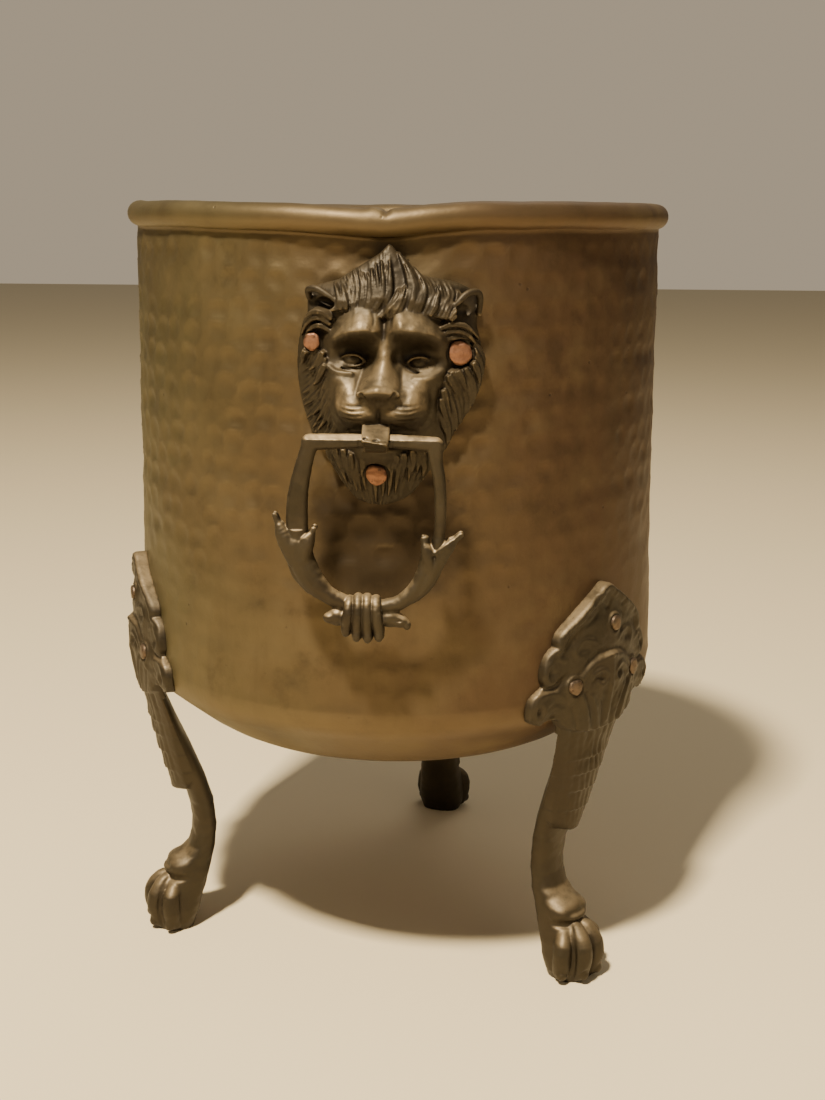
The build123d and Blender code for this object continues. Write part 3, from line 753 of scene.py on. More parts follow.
# combs, lower layers first: guides, locks, width, heights from root to tip, ridges,
# dome, groove, spread of lift, least and most share of the guide that a lock covers
FULL = (0.92, 1.0)
CREST_LOW, CREST_HIGH, CREST_TOP = (8.6, 8.4, 6.8, 3.4), (10.8, 10.8, 9, 6.2), (11.6, 11.8, 10, 7.6)
COMBS = [
    (SIDE_LEFT, 17, 3.6, (7, 6.6, 5.4, 3.6), 2, 0.8, 1.2, 0.8, FULL),
    (SIDE_LEFT, 11, 3.2, (9.6, 8.8, 7.2, 5.4), 2, 1.4, 1.2, 1.4, (0.50, 0.80)),
    (SIDE_RIGHT[:4], 11, 3.4, (7, 6.4, 5.2, 3.6), 2, 1.2, 1.1, 1.2, FULL),
    (SIDE_RIGHT[3:], 11, 3.8, (7.6, 7, 5.8, 3.8), 2, 0.8, 0.7, 0.6, FULL),
    (SIDE_RIGHT, 9, 3.2, (9.4, 8.6, 7, 5.2), 2, 1.3, 1.0, 1.3, (0.45, 0.75)),
    (BEARD, 21, 3.2, (6.6, 6, 5, 3.4), 2, 1.1, 1.3, 0.8, FULL),
    (BEARD, 15, 2.9, (9, 8.2, 7, 5.4), 2, 1.1, 1.1, 0.8, (0.60, 0.90)),
    (BEARD, 11, 2.6, (10.8, 9.8, 8.4, 7), 2, 1.0, 1.0, 0.8, (0.36, 0.62)),
    (CREST_LEFT, 22, 3.3, CREST_LOW, 2, 1.0, 1.2, 0.8, FULL),
    (CREST_RIGHT, 21, 3.3, CREST_LOW, 2, 1.0, 1.2, 0.8, FULL),
    (CREST_LEFT, 15, 2.8, CREST_HIGH, 2, 1.2, 1.2, 1.3, (0.66, 0.94)),
    (CREST_RIGHT, 14, 2.8, CREST_HIGH, 2, 1.2, 1.2, 1.3, (0.66, 0.94)),
    (CREST_LEFT[3:], 6, 2.6, CREST_TOP, 2, 0.8, 0.7, 0.8, (0.80, 0.96)),
    (CREST_RIGHT[:3], 5, 2.6, CREST_TOP, 2, 0.8, 0.7, 0.8, (0.76, 0.92)),
    (FORELOCKS, 5, 1.9, (12.4, 12.8, 12, 10.4), 1, 0.9, 0.5, 0.8, FULL)]

# lines worked into the face: points, radii, amounts raised
FACE_LINES = [
    # furrows and swellings of the brow
    ([(0.6, 294), (0.9, 288.5), (0.7, 283.5), (0.4, 279)], [1, 1.1, 1.1, 0.8],
     [-0.6, -1.5, -1.2, -0.3]),
    ([(3.2, 292), (3.4, 288), (3.1, 284.5)], 0.55, [-0.2, -0.7, -0.2]),
    ([(-2.6, 291.4), (-2.2, 287.6), (-2.6, 284.6)], 0.55, [-0.2, -0.7, -0.2]),
    ([(-8, 290.2), (-6.6, 287.4), (-7.4, 284.8)], 2.2, [0.3, 0.9, 0.2]),
    ([(5.8, 291), (5.9, 287.6), (5.8, 284.2)], 1.9, [0.5, 1.3, 0.7]),
    # beside the nose
    ([(-5.8, 270.4), (-6.8, 266.8), (-7.2, 263.2), (-6.6, 260.4)], [0.8, 1.1, 1.1, 0.9],
     [-0.4, -1.1, -1.3, -0.5]),
    ([(6.6, 270), (6.7, 266.8), (6.4, 263.4), (5.8, 260.6)], [0.8, 1.1, 1.1, 0.9],
     [-0.4, -1.1, -1.3, -0.5]),
    # outside the cheeks
    ([(-14.8, 265.2), (-15.6, 260), (-15.2, 254.6), (-12.6, 250)], 1, [-0.2, -0.8, -1, -0.4]),
    ([(16.4, 264.6), (16.8, 259.6), (16.4, 254.4), (14.2, 249.6)], 1, [-0.2, -0.8, -1, -0.4])]


def thin_plate(points, values):
    """A smooth surface through scattered heights, as a function of (x, y)."""
    p = np.asarray(points, float)
    n = len(p)
    gap2 = ((p[:, None, :] - p[None, :, :]) ** 2).sum(-1)
    system = np.zeros((n + 3, n + 3))
    system[:n, :n] = 0.5 * gap2 * np.log(gap2 + 1e-12) + np.eye(n) * 1.5
    system[:n, n] = system[n, :n] = 1
    system[:n, n + 1:] = p
    system[n + 1:, :n] = p.T
    weights = np.linalg.solve(system, np.r_[np.asarray(values, float), 0, 0, 0])

    def surface(x, y):
        out = weights[n] + weights[n + 1] * x + weights[n + 2] * y
        for i in range(n):
            r2 = (x - p[i, 0]) ** 2 + (y - p[i, 1]) ** 2
            out = out + weights[i] * 0.5 * r2 * np.log(r2 + 1e-12)
        return out
    return surface


def from_axis(arc, z, height):
    """Places on the wall seen from the pot's axis: distance sideways, distance forward."""
    radius = wall_radius(z) + height
    angle = arc / MAP_R
    return radius * np.sin(angle), radius * np.cos(angle)


def bare_head(x, y):
    """The head through FACE's points, its middle leaning a little."""
    places, heights = [], []
    for aside, up, height in FACE:
        middle = float(np.interp(up, (215, 245, 262, 275, 290, 312),
                                 (-1.4, -0.9, -0.4, 1.3, 1.2, 2.6)))
        for side in ((1,) if aside == 0 else (-1, 1)):
            places.append((middle + side * aside * (1.05 if side > 0 else 0.97), up))
            heights.append(height)
    return thin_plate(places, heights)(x, y)


def comb_hair(relief, rng):
    for guides, count, width, heights, ridges, dome, groove, lift, reach in COMBS:
        for i in range(count):
            t = (i + 0.5 + rng.uniform(-0.35, 0.35) * 0.5) / count
            line = curve(between(guides, t), 30)
            line = line[: max(4, int(len(line) * rng.uniform(*reach)))]
            line = line[np.linspace(0, len(line) - 1, 5).astype(int)]
            line[1:-1] += rng.uniform(-0.25, 0.25, (3, 2))
            up = lift * rng.uniform(-0.5, 0.5) + (0.5 * lift if i % 2 else 0)
            relief.lock(line, width * rng.uniform(0.85, 1.15), [h + up for h in heights],
                        ridges, dome, groove * rng.uniform(0.8, 1.2))
    for guides, width, root, rise, tip in ((TEMPLE_LEFT, 2.6, 9.6, 11.2, 5.4),
                                           (TEMPLE_RIGHT, 2.7, 9.4, 11.0, 5.2)):
        for k, guide in enumerate(guides):
            heights = (root - 0.5 * k, rise - 0.9 * k, 9.6 - 0.9 * k, tip)
            relief.lock(guide, width, heights, ridges=2, dome=1.5, groove=1.2)


def chase_face(relief):
    for line in FACE_LINES:
        relief.stroke(*line)
    # four whisker lines on each cheek
    for side in (-1, 1):
        for k in range(4):
            y = 258.0 - 1.75 * k
            relief.stroke([(side * 5.2, y - 0.3), (side * 9, y - 0.5), (side * 12.8, y + 0.3)],
                          0.42, [-0.2, -0.62, -0.15])
    relief.stroke([(-0.4, 256), (-0.5, 252.6), (-0.5, 250)], 0.6, [-0.8, -1.2, -0.6])
    # fine combed lines on the smooth lower right side
    for k in range(7):
        relief.stroke(between(SIDE_RIGHT[2:], 0.12 + 0.13 * k), 0.45, [-0.1, -0.35, -0.45, -0.2])


def model_eyes(clay):
    # hollows under the brow, then beside the nose: centre, radii, turn
    for centre, radii, turn in (((-10.2, 276.4, 15.2), (7.2, 3.6, 7.4), 5),
                                ((13.2, 275.4, 15.4), (7.6, 3.8, 8), -7),
                                ((-4.6, 274.6, 13.6), (2.4, 3.6, 4.4), 0),
                                ((6.2, 274, 13.6), (2.4, 3.8, 4.6), 0)):
        clay.ball(centre, radii, 1.2, cut=True, turn=turn)
    # eye: side, centre's x and y, how much deeper it lies
    for side, x, y, drop in ((-1, -9.9, 273.0, 0.0), (1, 12.9, 272.2, 0.5)):
        def at(*offsets):
            return [(x + side * dx, y + dy, z - drop) for dx, dy, z in offsets]

        clay.ball((x, y, 6.7 - drop), (3.4, 2.4, 3.8), 0.3)
        upper = at((-4.4, -0.2, 8.8), (-2, 1.9, 10.3), (1.4, 2, 10), (4.6, 0.2, 7.9))
        lower = at((-4.4, -0.3, 8.9), (-2.2, -1.8, 10.1), (1.3, -1.9, 9.9), (4.6, -0.4, 8))
        for lid, radius in ((upper, 0.46), (lower, 0.40)):
            line = curve(lid, 12)
            clay.rope(line, np.r_[0.3, np.full(len(line) - 2, radius), 0.3], 0.9)
        clay.rope(at((-4.4, -1.9, 10.4), (-0.8, -3.7, 11.2), (4.4, -2.9, 9.6)),
                  [0.35, 0.6, 0.35], 0.6, cut=True)
        iris = [(x - side * 0.4 + 1.3 * math.cos(a), y + 0.3 + 1.15 * math.sin(a), 10.5 - drop)
                for a in np.linspace(0, TURN, 13)]
        clay.rope(iris, 0.18, 0.3, cut=True)
        clay.ball((x - side * 0.4, y + 0.35, 10.8 - drop), 0.6, 0.2, cut=True)
    # ridges under the eyes
    for ridge in ([(-18.6, 271.4, 9.4), (-15.6, 269.2, 11.6), (-12.6, 268.6, 12.2),
                   (-9.8, 268.4, 12.2)],
                  [(11.4, 266.6, 12.6), (14.4, 266.6, 13), (17.4, 267.4, 12), (20.6, 269.4, 9.8)]):
        clay.rope(ridge, 0.85, 1.1, smooth=9)


def model_nose_and_mouth(clay):
    # a flat pad that falls back to the lip, nostrils beside it
    clay.rope([(-6, 262, 20.2), (-0.5, 263.2, 22.2), (5.2, 262, 20.2)], [1.1, 1.7, 1.1], 1.0)
    clay.rope([(-5.6, 262, 21.4), (-4.6, 259.6, 21.4), (-2.6, 257.4, 20.8)],
              [0.8, 1.25, 0.7], 0.7, cut=True)
    clay.rope([(4.8, 262.2, 21.4), (4, 259.8, 21.4), (1.8, 257.4, 20.8)],
              [0.8, 1.35, 0.7], 0.7, cut=True)
    clay.ball((-5.6, 259.2, 21.6), (1.8, 1.6, 2.4), 0.8, cut=True)
    clay.ball((5.2, 259.2, 21.6), (2.2, 1.7, 2.6), 0.8, cut=True)
    clay.ball((-0.5, 257.2, 23), (4.4, 3.4, 2.6), 0.8, cut=True)
    clay.rope([(-0.5, 259.4, 20.8), (-0.5, 255.6, 19.6)], [0.5, 0.8], 0.5, cut=True)
    # a deep gap under the lips
    clay.rope([(-10.6, 247, 15.8), (-4.6, 248.4, 17.4), (4, 248.2, 17.4), (11.6, 246.6, 15.6)],
              [1.6, 2.6, 2.6, 1.7], 0.7, cut=True, squash=(1, 1, 2))
    clay.rope([(-9.6, 246.8, 11.4), (10.4, 246.4, 11.4)], 1.8, 0.8, cut=True)
    # under the lower lip
    clay.rope([(-8, 241.6, 13.2), (-0.5, 242.4, 15), (7.4, 241.4, 13.2)],
              [0.6, 0.9, 0.6], 0.7, cut=True)
    clay.ball((-0.3, 240.6, 11.8), (5.4, 1.9, 2.8), 0.9)


def model_ears(clay):
    """Pointed flaps, each with a raised upper edge and a deep hollow."""
    left = [(-26, 295.2, 5.2), (-25.6, 298, 7.2), (-22.2, 298.4, 8.8), (-18.4, 296.4, 9.8),
            (-14.6, 294, 10.4)]
    right = [(23.6, 291.6, 10.2), (26.2, 294.6, 10), (29.4, 297.2, 9.2), (33, 297.4, 7.6),
             (34.6, 294.4, 5.6), (34.4, 289.6, 5)]
    for edge, count, radii, centre, hollow, turn in (
            (left, 14, (1.1, 1.3, 1.25, 0.7), (-20.4, 293.6, 9.4), (5.4, 2.3, 5.8), -14),
            (right, 16, (0.7, 1.2, 1.3, 1.0), (28.8, 290.6, 9.6), (4.6, 3.9, 6.0), 28)):
        line = curve(edge, count)
        clay.rope(line, np.interp(np.linspace(0, 1, len(line)), (0, 0.3, 0.7, 1), radii), 0.6)
        clay.ball(centre, hollow, 0.6, cut=True, turn=turn)


def seat_mask_rivets(clay):
    for degrees, z, head, seat in MASK_RIVETS:
        arc = math.radians(degrees) * MAP_R
        floor = seat - wall_radius(z)
        radius = head + 0.55
        clay.ball((arc, z, floor - 3.4), (head + 1.0, head + 1.0, 3.5), 0.6)
        clay.put(lambda X, Y, Z: np.maximum(np.sqrt((X - arc) ** 2 + (Y - z) ** 2) - radius,
                                            floor - Z),
                 (arc - radius, z - radius, 0), (arc + radius, z + radius, 27), 0.35, cut=True)


def model_tongue(clay, rng):
    """Room for the handle's bar, then the tongue that carries it."""
    def pivot_gap(X, Y, Z):
        forward = from_axis(X, Y, Z)[1]
        return np.sqrt((forward - PIVOT_R) ** 2 + (Y - PIVOT_Z) ** 2)

    clay.put(lambda *at: pivot_gap(*at) - 3.7,
             (-36, PIVOT_Z - 6, 8), (41, PIVOT_Z + 6, 27), 0.6, cut=True)

    # the tongue's side view: distance from the axis, height
    path = curve([(121, 247.2), (126.5, 248.8), (131.5, 249.6), (135.4, 247.8),
                  (137.4, 245.4), (137.2, 243.6)], 24)
    radii = np.interp(np.linspace(0, 1, len(path)), (0, 0.5, 0.8, 1), (2.2, 2.1, 2.1, 1.5))

    def tongue(X, Y, Z):
        x, forward = from_axis(X, Y, Z)
        x = x + 1.3
        drooped = Y + 0.16 * x                  # it droops on its right
        half = 5.0 - 0.10 * np.maximum(248 - drooped, 0)
        slab = smax(bar_gap((forward, drooped), path, radii), np.abs(x) - half, 0.9)
        eye = smax(pivot_gap(X, Y, Z) - 4.2, np.abs(x) - 4.3, 0.7)
        root = smax(np.abs(Y - 245.4) - 3.6, np.abs(forward - 124.5) - 8.0, 0.8)
        root = smax(root, np.abs(x) - 4.3, 0.8)
        body = smin(smin(slab, eye, 0.8), root, 0.8)
        # a worn flat on top, and the underside cut back
        body = smax(body, 0.526 * (forward - 131.0) + 0.850 * (drooped - 250.6), 0.35)
        return smax(body, 0.645 * (forward - 139.2) - 0.764 * (drooped - 245.0), 0.5)

    clay.put(tongue, (-9, 236, 2), (7, 254, 26), 0.7)
    clay.put(lambda *at: pivot_gap(*at) - 2.62,
             (-8, PIVOT_Z - 4, 12), (6, PIVOT_Z + 4, 25), 0.0, cut=True)
    # its chipped, broken end
    for k in range(13):
        chip = (-6.2 + 0.84 * k + rng.uniform(-0.3, 0.3),
                247.6 - 0.16 * k + rng.uniform(-0.5, 0.5), 24.2 + rng.uniform(-0.4, 0.5))
        clay.ball(chip, rng.uniform(0.4, 0.9), 0.3, cut=True)
    clay.ball((4, 245.6, 24), (1.3, 1.6, 1.6), 0.5, cut=True)
    clay.ball((-6, 245.2, 24), (0.9, 1.4, 1.4), 0.5, cut=True)


def build_mask(step):
    """The mask's points in the wall's own space, and its quads."""
    clay = Clay((-36, 214.5, -1.6), (41, 317.5, 27.5), step)
    relief = Relief(clay.axes[0], clay.axes[1], step)
    x, y = relief.across[:, None], relief.up[None, :]
    edge = outline_distance(x, y, closed_curve(MANE, 300))
    head = smin(bare_head(x, y), 3.0 + 1.6 * np.maximum(-edge, 0), 1.6)
    relief.heights = np.where(edge < 0, np.minimum(head, 23.4), -3.0)

    rng = np.random.default_rng(21)
    comb_hair(relief, rng)
    chase_face(relief)
    relief.soften(1)
    relief.roughen(noise_grid(8, (80, 110)), (-40, 210), (1.3, 0.09), (0.7, 0.05))
    heights, slope = relief.on_clay(steepest=36.0)
    Z = clay.axes[2][None, None, :]
    clay.field[:] = (Z - heights[:, :, None]) / slope[:, :, None]

    model_eyes(clay)
    model_nose_and_mouth(clay)
    model_ears(clay)
    seat_mask_rivets(clay)
    model_tongue(clay, rng)

    # closed just behind the wall's face, then the hidden back is taken off
    clay.field[:] = np.maximum(clay.field, -(Z + 0.7))
    verts, quads = clay.surface()
    back = verts[:, 2] < -0.55
    return keep_largest(verts, quads[~back[quads].all(1)])


def wrap_on_wall(verts):
    sideways, forward = from_axis(*verts.T)
    return np.stack([sideways, -forward, verts[:, 1]], 1)


# ------------------------------------------------------------------ ring handle
# In the ring's tables x is across, y outwards from the hinge and z up.
HINGE_X = -1.35

# straight bars into the tongue: points, radii
HINGE_BARS = [
    ([(-25, 0.1, 244.4), (-9.6, 0.1, 245), (HINGE_X - 0.5, 0, PIVOT_Z)], [3.3, 2.9, 2.5]),
    ([(20, 0.1, 243.9), (6.9, 0.1, 244.9), (HINGE_X + 0.5, 0, PIVOT_Z)], [3.1, 2.8, 2.5])]

# curved arms: points, radii, y squash
ARMS = [
    # upper left and upper right
    ([(-25.2, 0.1, 244), (-26.8, 0.2, 238.6), (-28.6, 0.2, 231.5), (-29.9, 0.2, 224),
      (-30.3, 0, 216), (-30.2, 0, 208)], [3, 3, 3.4, 3.8, 4.1, 3.9], 0.9),
    ([(20.2, 0.1, 243.4), (20.5, 0.2, 238.2), (21.8, 0.2, 231), (22.3, 0.2, 222.5),
      (22.2, 0, 215), (21.8, 0, 206.5)], [2.9, 2.5, 2.2, 2.2, 2.1, 2.3], 1.25),
    # lower left, then the inner and outer bars of the lower right
    ([(-30.2, 0, 213), (-29, 0.2, 204), (-26.6, 0.3, 197), (-22.9, 0.3, 191),
      (-18.4, 0.2, 186.8), (-12, 0, 184)], [3.5, 4.2, 4.2, 3.8, 3.3, 2.9], 0.9),
    ([(17, 1.2, 209.6), (17.4, 1, 203.4), (16.2, 0.6, 196), (12.6, 0.4, 189),
      (7.2, 0.3, 184.6), (1.4, 0, 183.2)], [1.3, 2.1, 2.7, 3, 2.8, 2.6], 1.05),
    ([(21.8, 0, 208), (20.8, -0.4, 201), (18.2, -0.4, 194), (13.6, 0, 188.6)],
     [2.6, 2.8, 2.6, 1.6], 1.1)]

# leaves sheathing the arms, left then right: the sleeve's points, radii and y squash,
# then its blades, made on both faces: points, radius, blend, least radius
LEAVES = [
    ([(-30.6, 0, 206.4), (-29.8, 0.1, 202), (-27.2, 0.2, 195.8), (-23.6, 0.2, 190.6),
      (-19.4, 0, 187.2)], [4.5, 4.5, 4.3, 3.8, 3], 1.02,
     [([(-31.2, 1.6, 201), (-33.8, 2, 206.6), (-36, 2, 211.8), (-38.4, 1.6, 217.4)],
       3.0, 0.6, 1.05),
      ([(-28.4, 2.2, 200), (-27.2, 2.9, 205.2), (-25.8, 2.9, 209.2), (-24, 2.4, 212.6)],
       2.7, 0.6, 1.05),
      ([(-30.2, 3.2, 205.4), (-28.2, 3.9, 208), (-26.2, 3.6, 210.2), (-24.1, 2.7, 212.2)],
       0.9, 0.25, 0.3)]),
    ([(20.8, 0, 203.6), (20.2, 0, 199.6), (18.2, 0, 194), (14.4, 0, 189), (10, 0.1, 186)],
     [3.3, 3.5, 3.2, 2.9, 2.6], 1.12,
     [([(20.8, 1.4, 198.6), (23.6, 1.9, 204), (26.4, 1.9, 207.8), (29.9, 1.6, 210.9)],
       2.5, 0.6, 1.05),
      ([(18.6, 2.2, 198.4), (17.9, 2.7, 203), (17, 2.6, 206.4), (16.2, 2.1, 209.3)],
       2.2, 0.6, 1.05),
      ([(20.6, 3, 204), (23.4, 3.3, 206.2), (26.4, 2.8, 208.6), (29.6, 1.9, 210.7)],
       0.9, 0.25, 0.3)])]

# grooves along both faces of the sleeves: points, radius
SLEEVE_GROOVES = [
    ([(20.4, 3.6, 203), (19.9, 4.6, 198.4), (18, 4.2, 193), (14.6, 3.7, 188.8)], 0.6),
    ([(-32.6, 4.6, 204), (-31.4, 5, 198.6), (-28.2, 4.8, 193), (-24.6, 4.1, 188.8)], 0.45),
    ([(-28.6, 5.2, 203.4), (-27.4, 5.2, 197.6), (-24, 4.4, 192)], 0.35)]

# fingers of the grip: x, top, bottom, lean
FINGERS = [(-11.6, 187.2, 171.6, -0.6), (-8.0, 188.2, 169.8, -0.2),
           (-4.3, 188.2, 169.2, 0.2), (-0.6, 187.6, 169.8, 0.7)]

# leaf ends tucked against each side of the grip: centre, radii, blend
LEAF_ENDS = [
    ((-15.4, 0.2, 179), (4, 3.2, 3.6), 1.2), ((-18.4, 0.6, 178.6), (2.6, 2.6, 2.2), 0.7),
    ((4, 0.2, 178.6), (4.8, 3, 3.4), 1.2), ((7.6, 0.4, 177.6), (3.2, 2.6, 2.4), 0.8),
    ((10.4, 0.6, 176.2), (1.5, 1.7, 1.9), 0.6)]


def mirrored(points, side):
    return [(x, side * y, z) for x, y, z in points]


def plane_bars(clay):
    """Flats along the tops of the hinge bars and on the faces of the upper arms."""
    lean, rise = np.array([0.62, 0.78]) / np.hypot(0.62, 0.78)
    for x0, x1 in ((-29.5, -8.2), (5.4, 24.5)):
        for side, depth, y0, y1 in ((1, 2.15, -4, 6), (-1, 2.35, -6, 4)):
            clay.put(lambda X, Y, Z: depth - (side * lean * Y + rise * (Z - PIVOT_Z)),
                     (x0, y0, 243), (x1, y1, 250), 0.35, cut=True)
    for side, y0, y1 in ((-1, -9, -2.6), (1, 2.6, 9)):
        clay.put(lambda X, Y, Z: 2.75 - side * Y, (-40, y0, 214.5), (32, y1, 243.5), 0.5, cut=True)


def add_blade(clay, points, radius, blend, least):
    """A leaf's point, thinning towards its tip."""
    line = curve(points, 14)
    taper = (1 - smoothstep(0.42, 1.08, np.linspace(0, 1, len(line)))) ** 0.8
    clay.rope(line, np.maximum(radius * taper, least), blend, squash=(1, 0.8, 1))


def model_leaves(clay):
    for points, radii, squash, blades in LEAVES:
        clay.rope(points, radii, 0.25, squash=(1, squash, 1), smooth=24)
        for side in (1, -1):
            for blade, radius, blend, least in blades:
                add_blade(clay, mirrored(blade, side), radius, blend, least)
    add_blade(clay, [(-26, 1, 189), (-29.6, 1.2, 193), (-32.6, 1.2, 197.6), (-34.2, 1, 202)],
              radius=1.3, blend=0.5, least=0.3)
    for groove, radius in SLEEVE_GROOVES:
        for side in (1, -1):
            clay.rope(mirrored(groove, side), radius, 0.4, cut=True, smooth=12)


def model_grip(clay):
    """Four fingers wrapped side by side over the join."""
    clay.ball((-6.2, 0, 179.2), (7.2, 4.6, 8.2), 0.5)
    for x, top, bottom, lean in FINGERS:
        middle, half = (top + bottom) / 2, (top - bottom) / 2 - 1.9
        clay.rope([(x - lean * math.sin(a), 4.0 * math.cos(a), middle + half * math.sin(a))
                   for a in np.linspace(0, TURN, 25)], 1.92, 0.25)
        for side in (1, -1):
            clay.ball((x + lean, 3.5 * side, bottom + 3.0), (1.7, 2.0, 2.6), 0.5)
    for x0, x1 in ((-9.8, -10.1), (-6.15, -6.2), (-2.45, -2.2)):
        groove = [(x0, 5.4, 186.4), (x0, 6.2, 179), (x1, 5.2, 172), (x1, 3, 168.8)]
        for side in (1, -1):
            clay.rope(mirrored(groove, side), 0.46, 0.35, cut=True, smooth=14)
    for end in LEAF_ENDS:
        clay.ball(*end)
    clay.rope([(1.4, 3.6, 179.2), (4.8, 3.4, 178.6), (8, 2.8, 178.2)], 0.4, 0.4,
              cut=True, smooth=8)


def build_ring(step):
    clay = Clay((-42, -9.0, 165), (34, 9.0, 251), step)
    for points, radii in HINGE_BARS:
        clay.rope(points, radii, 0.5, squash=(1, 1, 0.92))
    for points, radii, squash in ARMS:
        clay.rope(points, radii, 0.8, squash=(1, squash, 1), smooth=24)
    plane_bars(clay)
    model_leaves(clay)
    model_grip(clay)
    clay.roughen(noise_grid(18, (60, 80)), (-45, 160), size=1.5, amount=0.10)

    # a true round bearing where the bars turn in the tongue, and the gap between them
    clay.put(lambda X, Y, Z: np.maximum(-(np.sqrt(Y ** 2 + (Z - PIVOT_Z) ** 2) - 2.5),
                                        np.abs(X - HINGE_X) - 6.3),
             (-8.2, -8, 240), (5.4, 8, 250.5), 0.0, cut=True)
    clay.put(lambda X, Y, Z: np.abs(X - HINGE_X) - 0.5,
             (HINGE_X - 1, -8, 240), (HINGE_X + 1, 8, 250), 0.0, cut=True)
    verts, quads = clay.surface()
    return np.stack([verts[:, 0], -(PIVOT_R + verts[:, 1]), verts[:, 2]], 1), quads[:, ::-1]


# ------------------------------------------------------------------ legs
# A leg is modelled with x across it, y outwards from the pot's axis and z up.

# right half of the shield's outline: x, z
SHIELD = [
    (0, 179.8), (6, 176.6), (11.5, 173.2), (19, 168), (25.2, 163.4), (27.6, 159.8),
    (27.8, 157.4), (29.2, 156.2), (31.8, 153.6), (33.6, 149.6), (34.2, 144.8), (33.2, 141.6),
    (35.2, 139.8), (38.4, 137.4), (40, 133.2), (39.4, 128.8), (37, 126.2), (33.6, 125.4),
    (31, 126.6), (26, 126.2), (22, 122), (14, 119), (6, 118)]
# stations up the leg: z, then distance from the axis or half width
LEG_OUT = [
    (0, 116.6), (3, 117.4), (9, 117.4), (16, 116.6), (22, 114.4), (25.5, 111), (28, 110.4),
    (31.5, 109.4), (35, 104.6), (39, 100.8), (45, 98.7), (52, 98.4), (60, 99.4), (65, 100.8),
    (70, 102.4), (78, 105), (90, 108.6), (100, 111.4), (110, 114), (120, 116.4), (132, 118.4)]
LEG_IN = [
    (0, 99.4), (4, 98.6), (9, 96.6), (13, 95.8), (20, 93.4), (29, 91), (38, 88.8), (49, 87.7),
    (61, 88.8), (73, 92.3), (88, 98.1), (101, 103.7), (113, 108.5), (124, 113), (134, 117.2),
    (150, 117)]
LEG_HALF = [
    (0, 10), (4, 11.6), (10, 12), (16, 11.6), (22, 10.8), (28, 10.2), (34, 9.6), (40, 8.9),
    (50, 8.4), (60, 8.8), (66, 9.8), (72, 11), (82, 12.8), (95, 14.8), (110, 17.6),
    (122, 20.4), (134, 22.6)]
LEAF_OUT = [
    (64, 105.8), (68.7, 106.7), (71.5, 107.6), (83.9, 111.2), (95.9, 114.3), (106.2, 116.5),
    (115.4, 118.6), (125.7, 120.6), (137, 122.9), (148.5, 123.4), (153, 122.6)]
LEAF_HALF = [
    (66.6, 0), (67.2, 4.2), (69, 8), (72, 10.4), (80, 12.6), (95, 15.6), (110, 19.2),
    (122, 22.6), (130, 23), (138, 20.6), (144, 17.2), (148, 12), (150.6, 5), (151.2, 0)]
TEETH = (68.0, 78.5, 88.0, 96.5, 104.0, 111.0)      # heights of the leaf's toothed edge

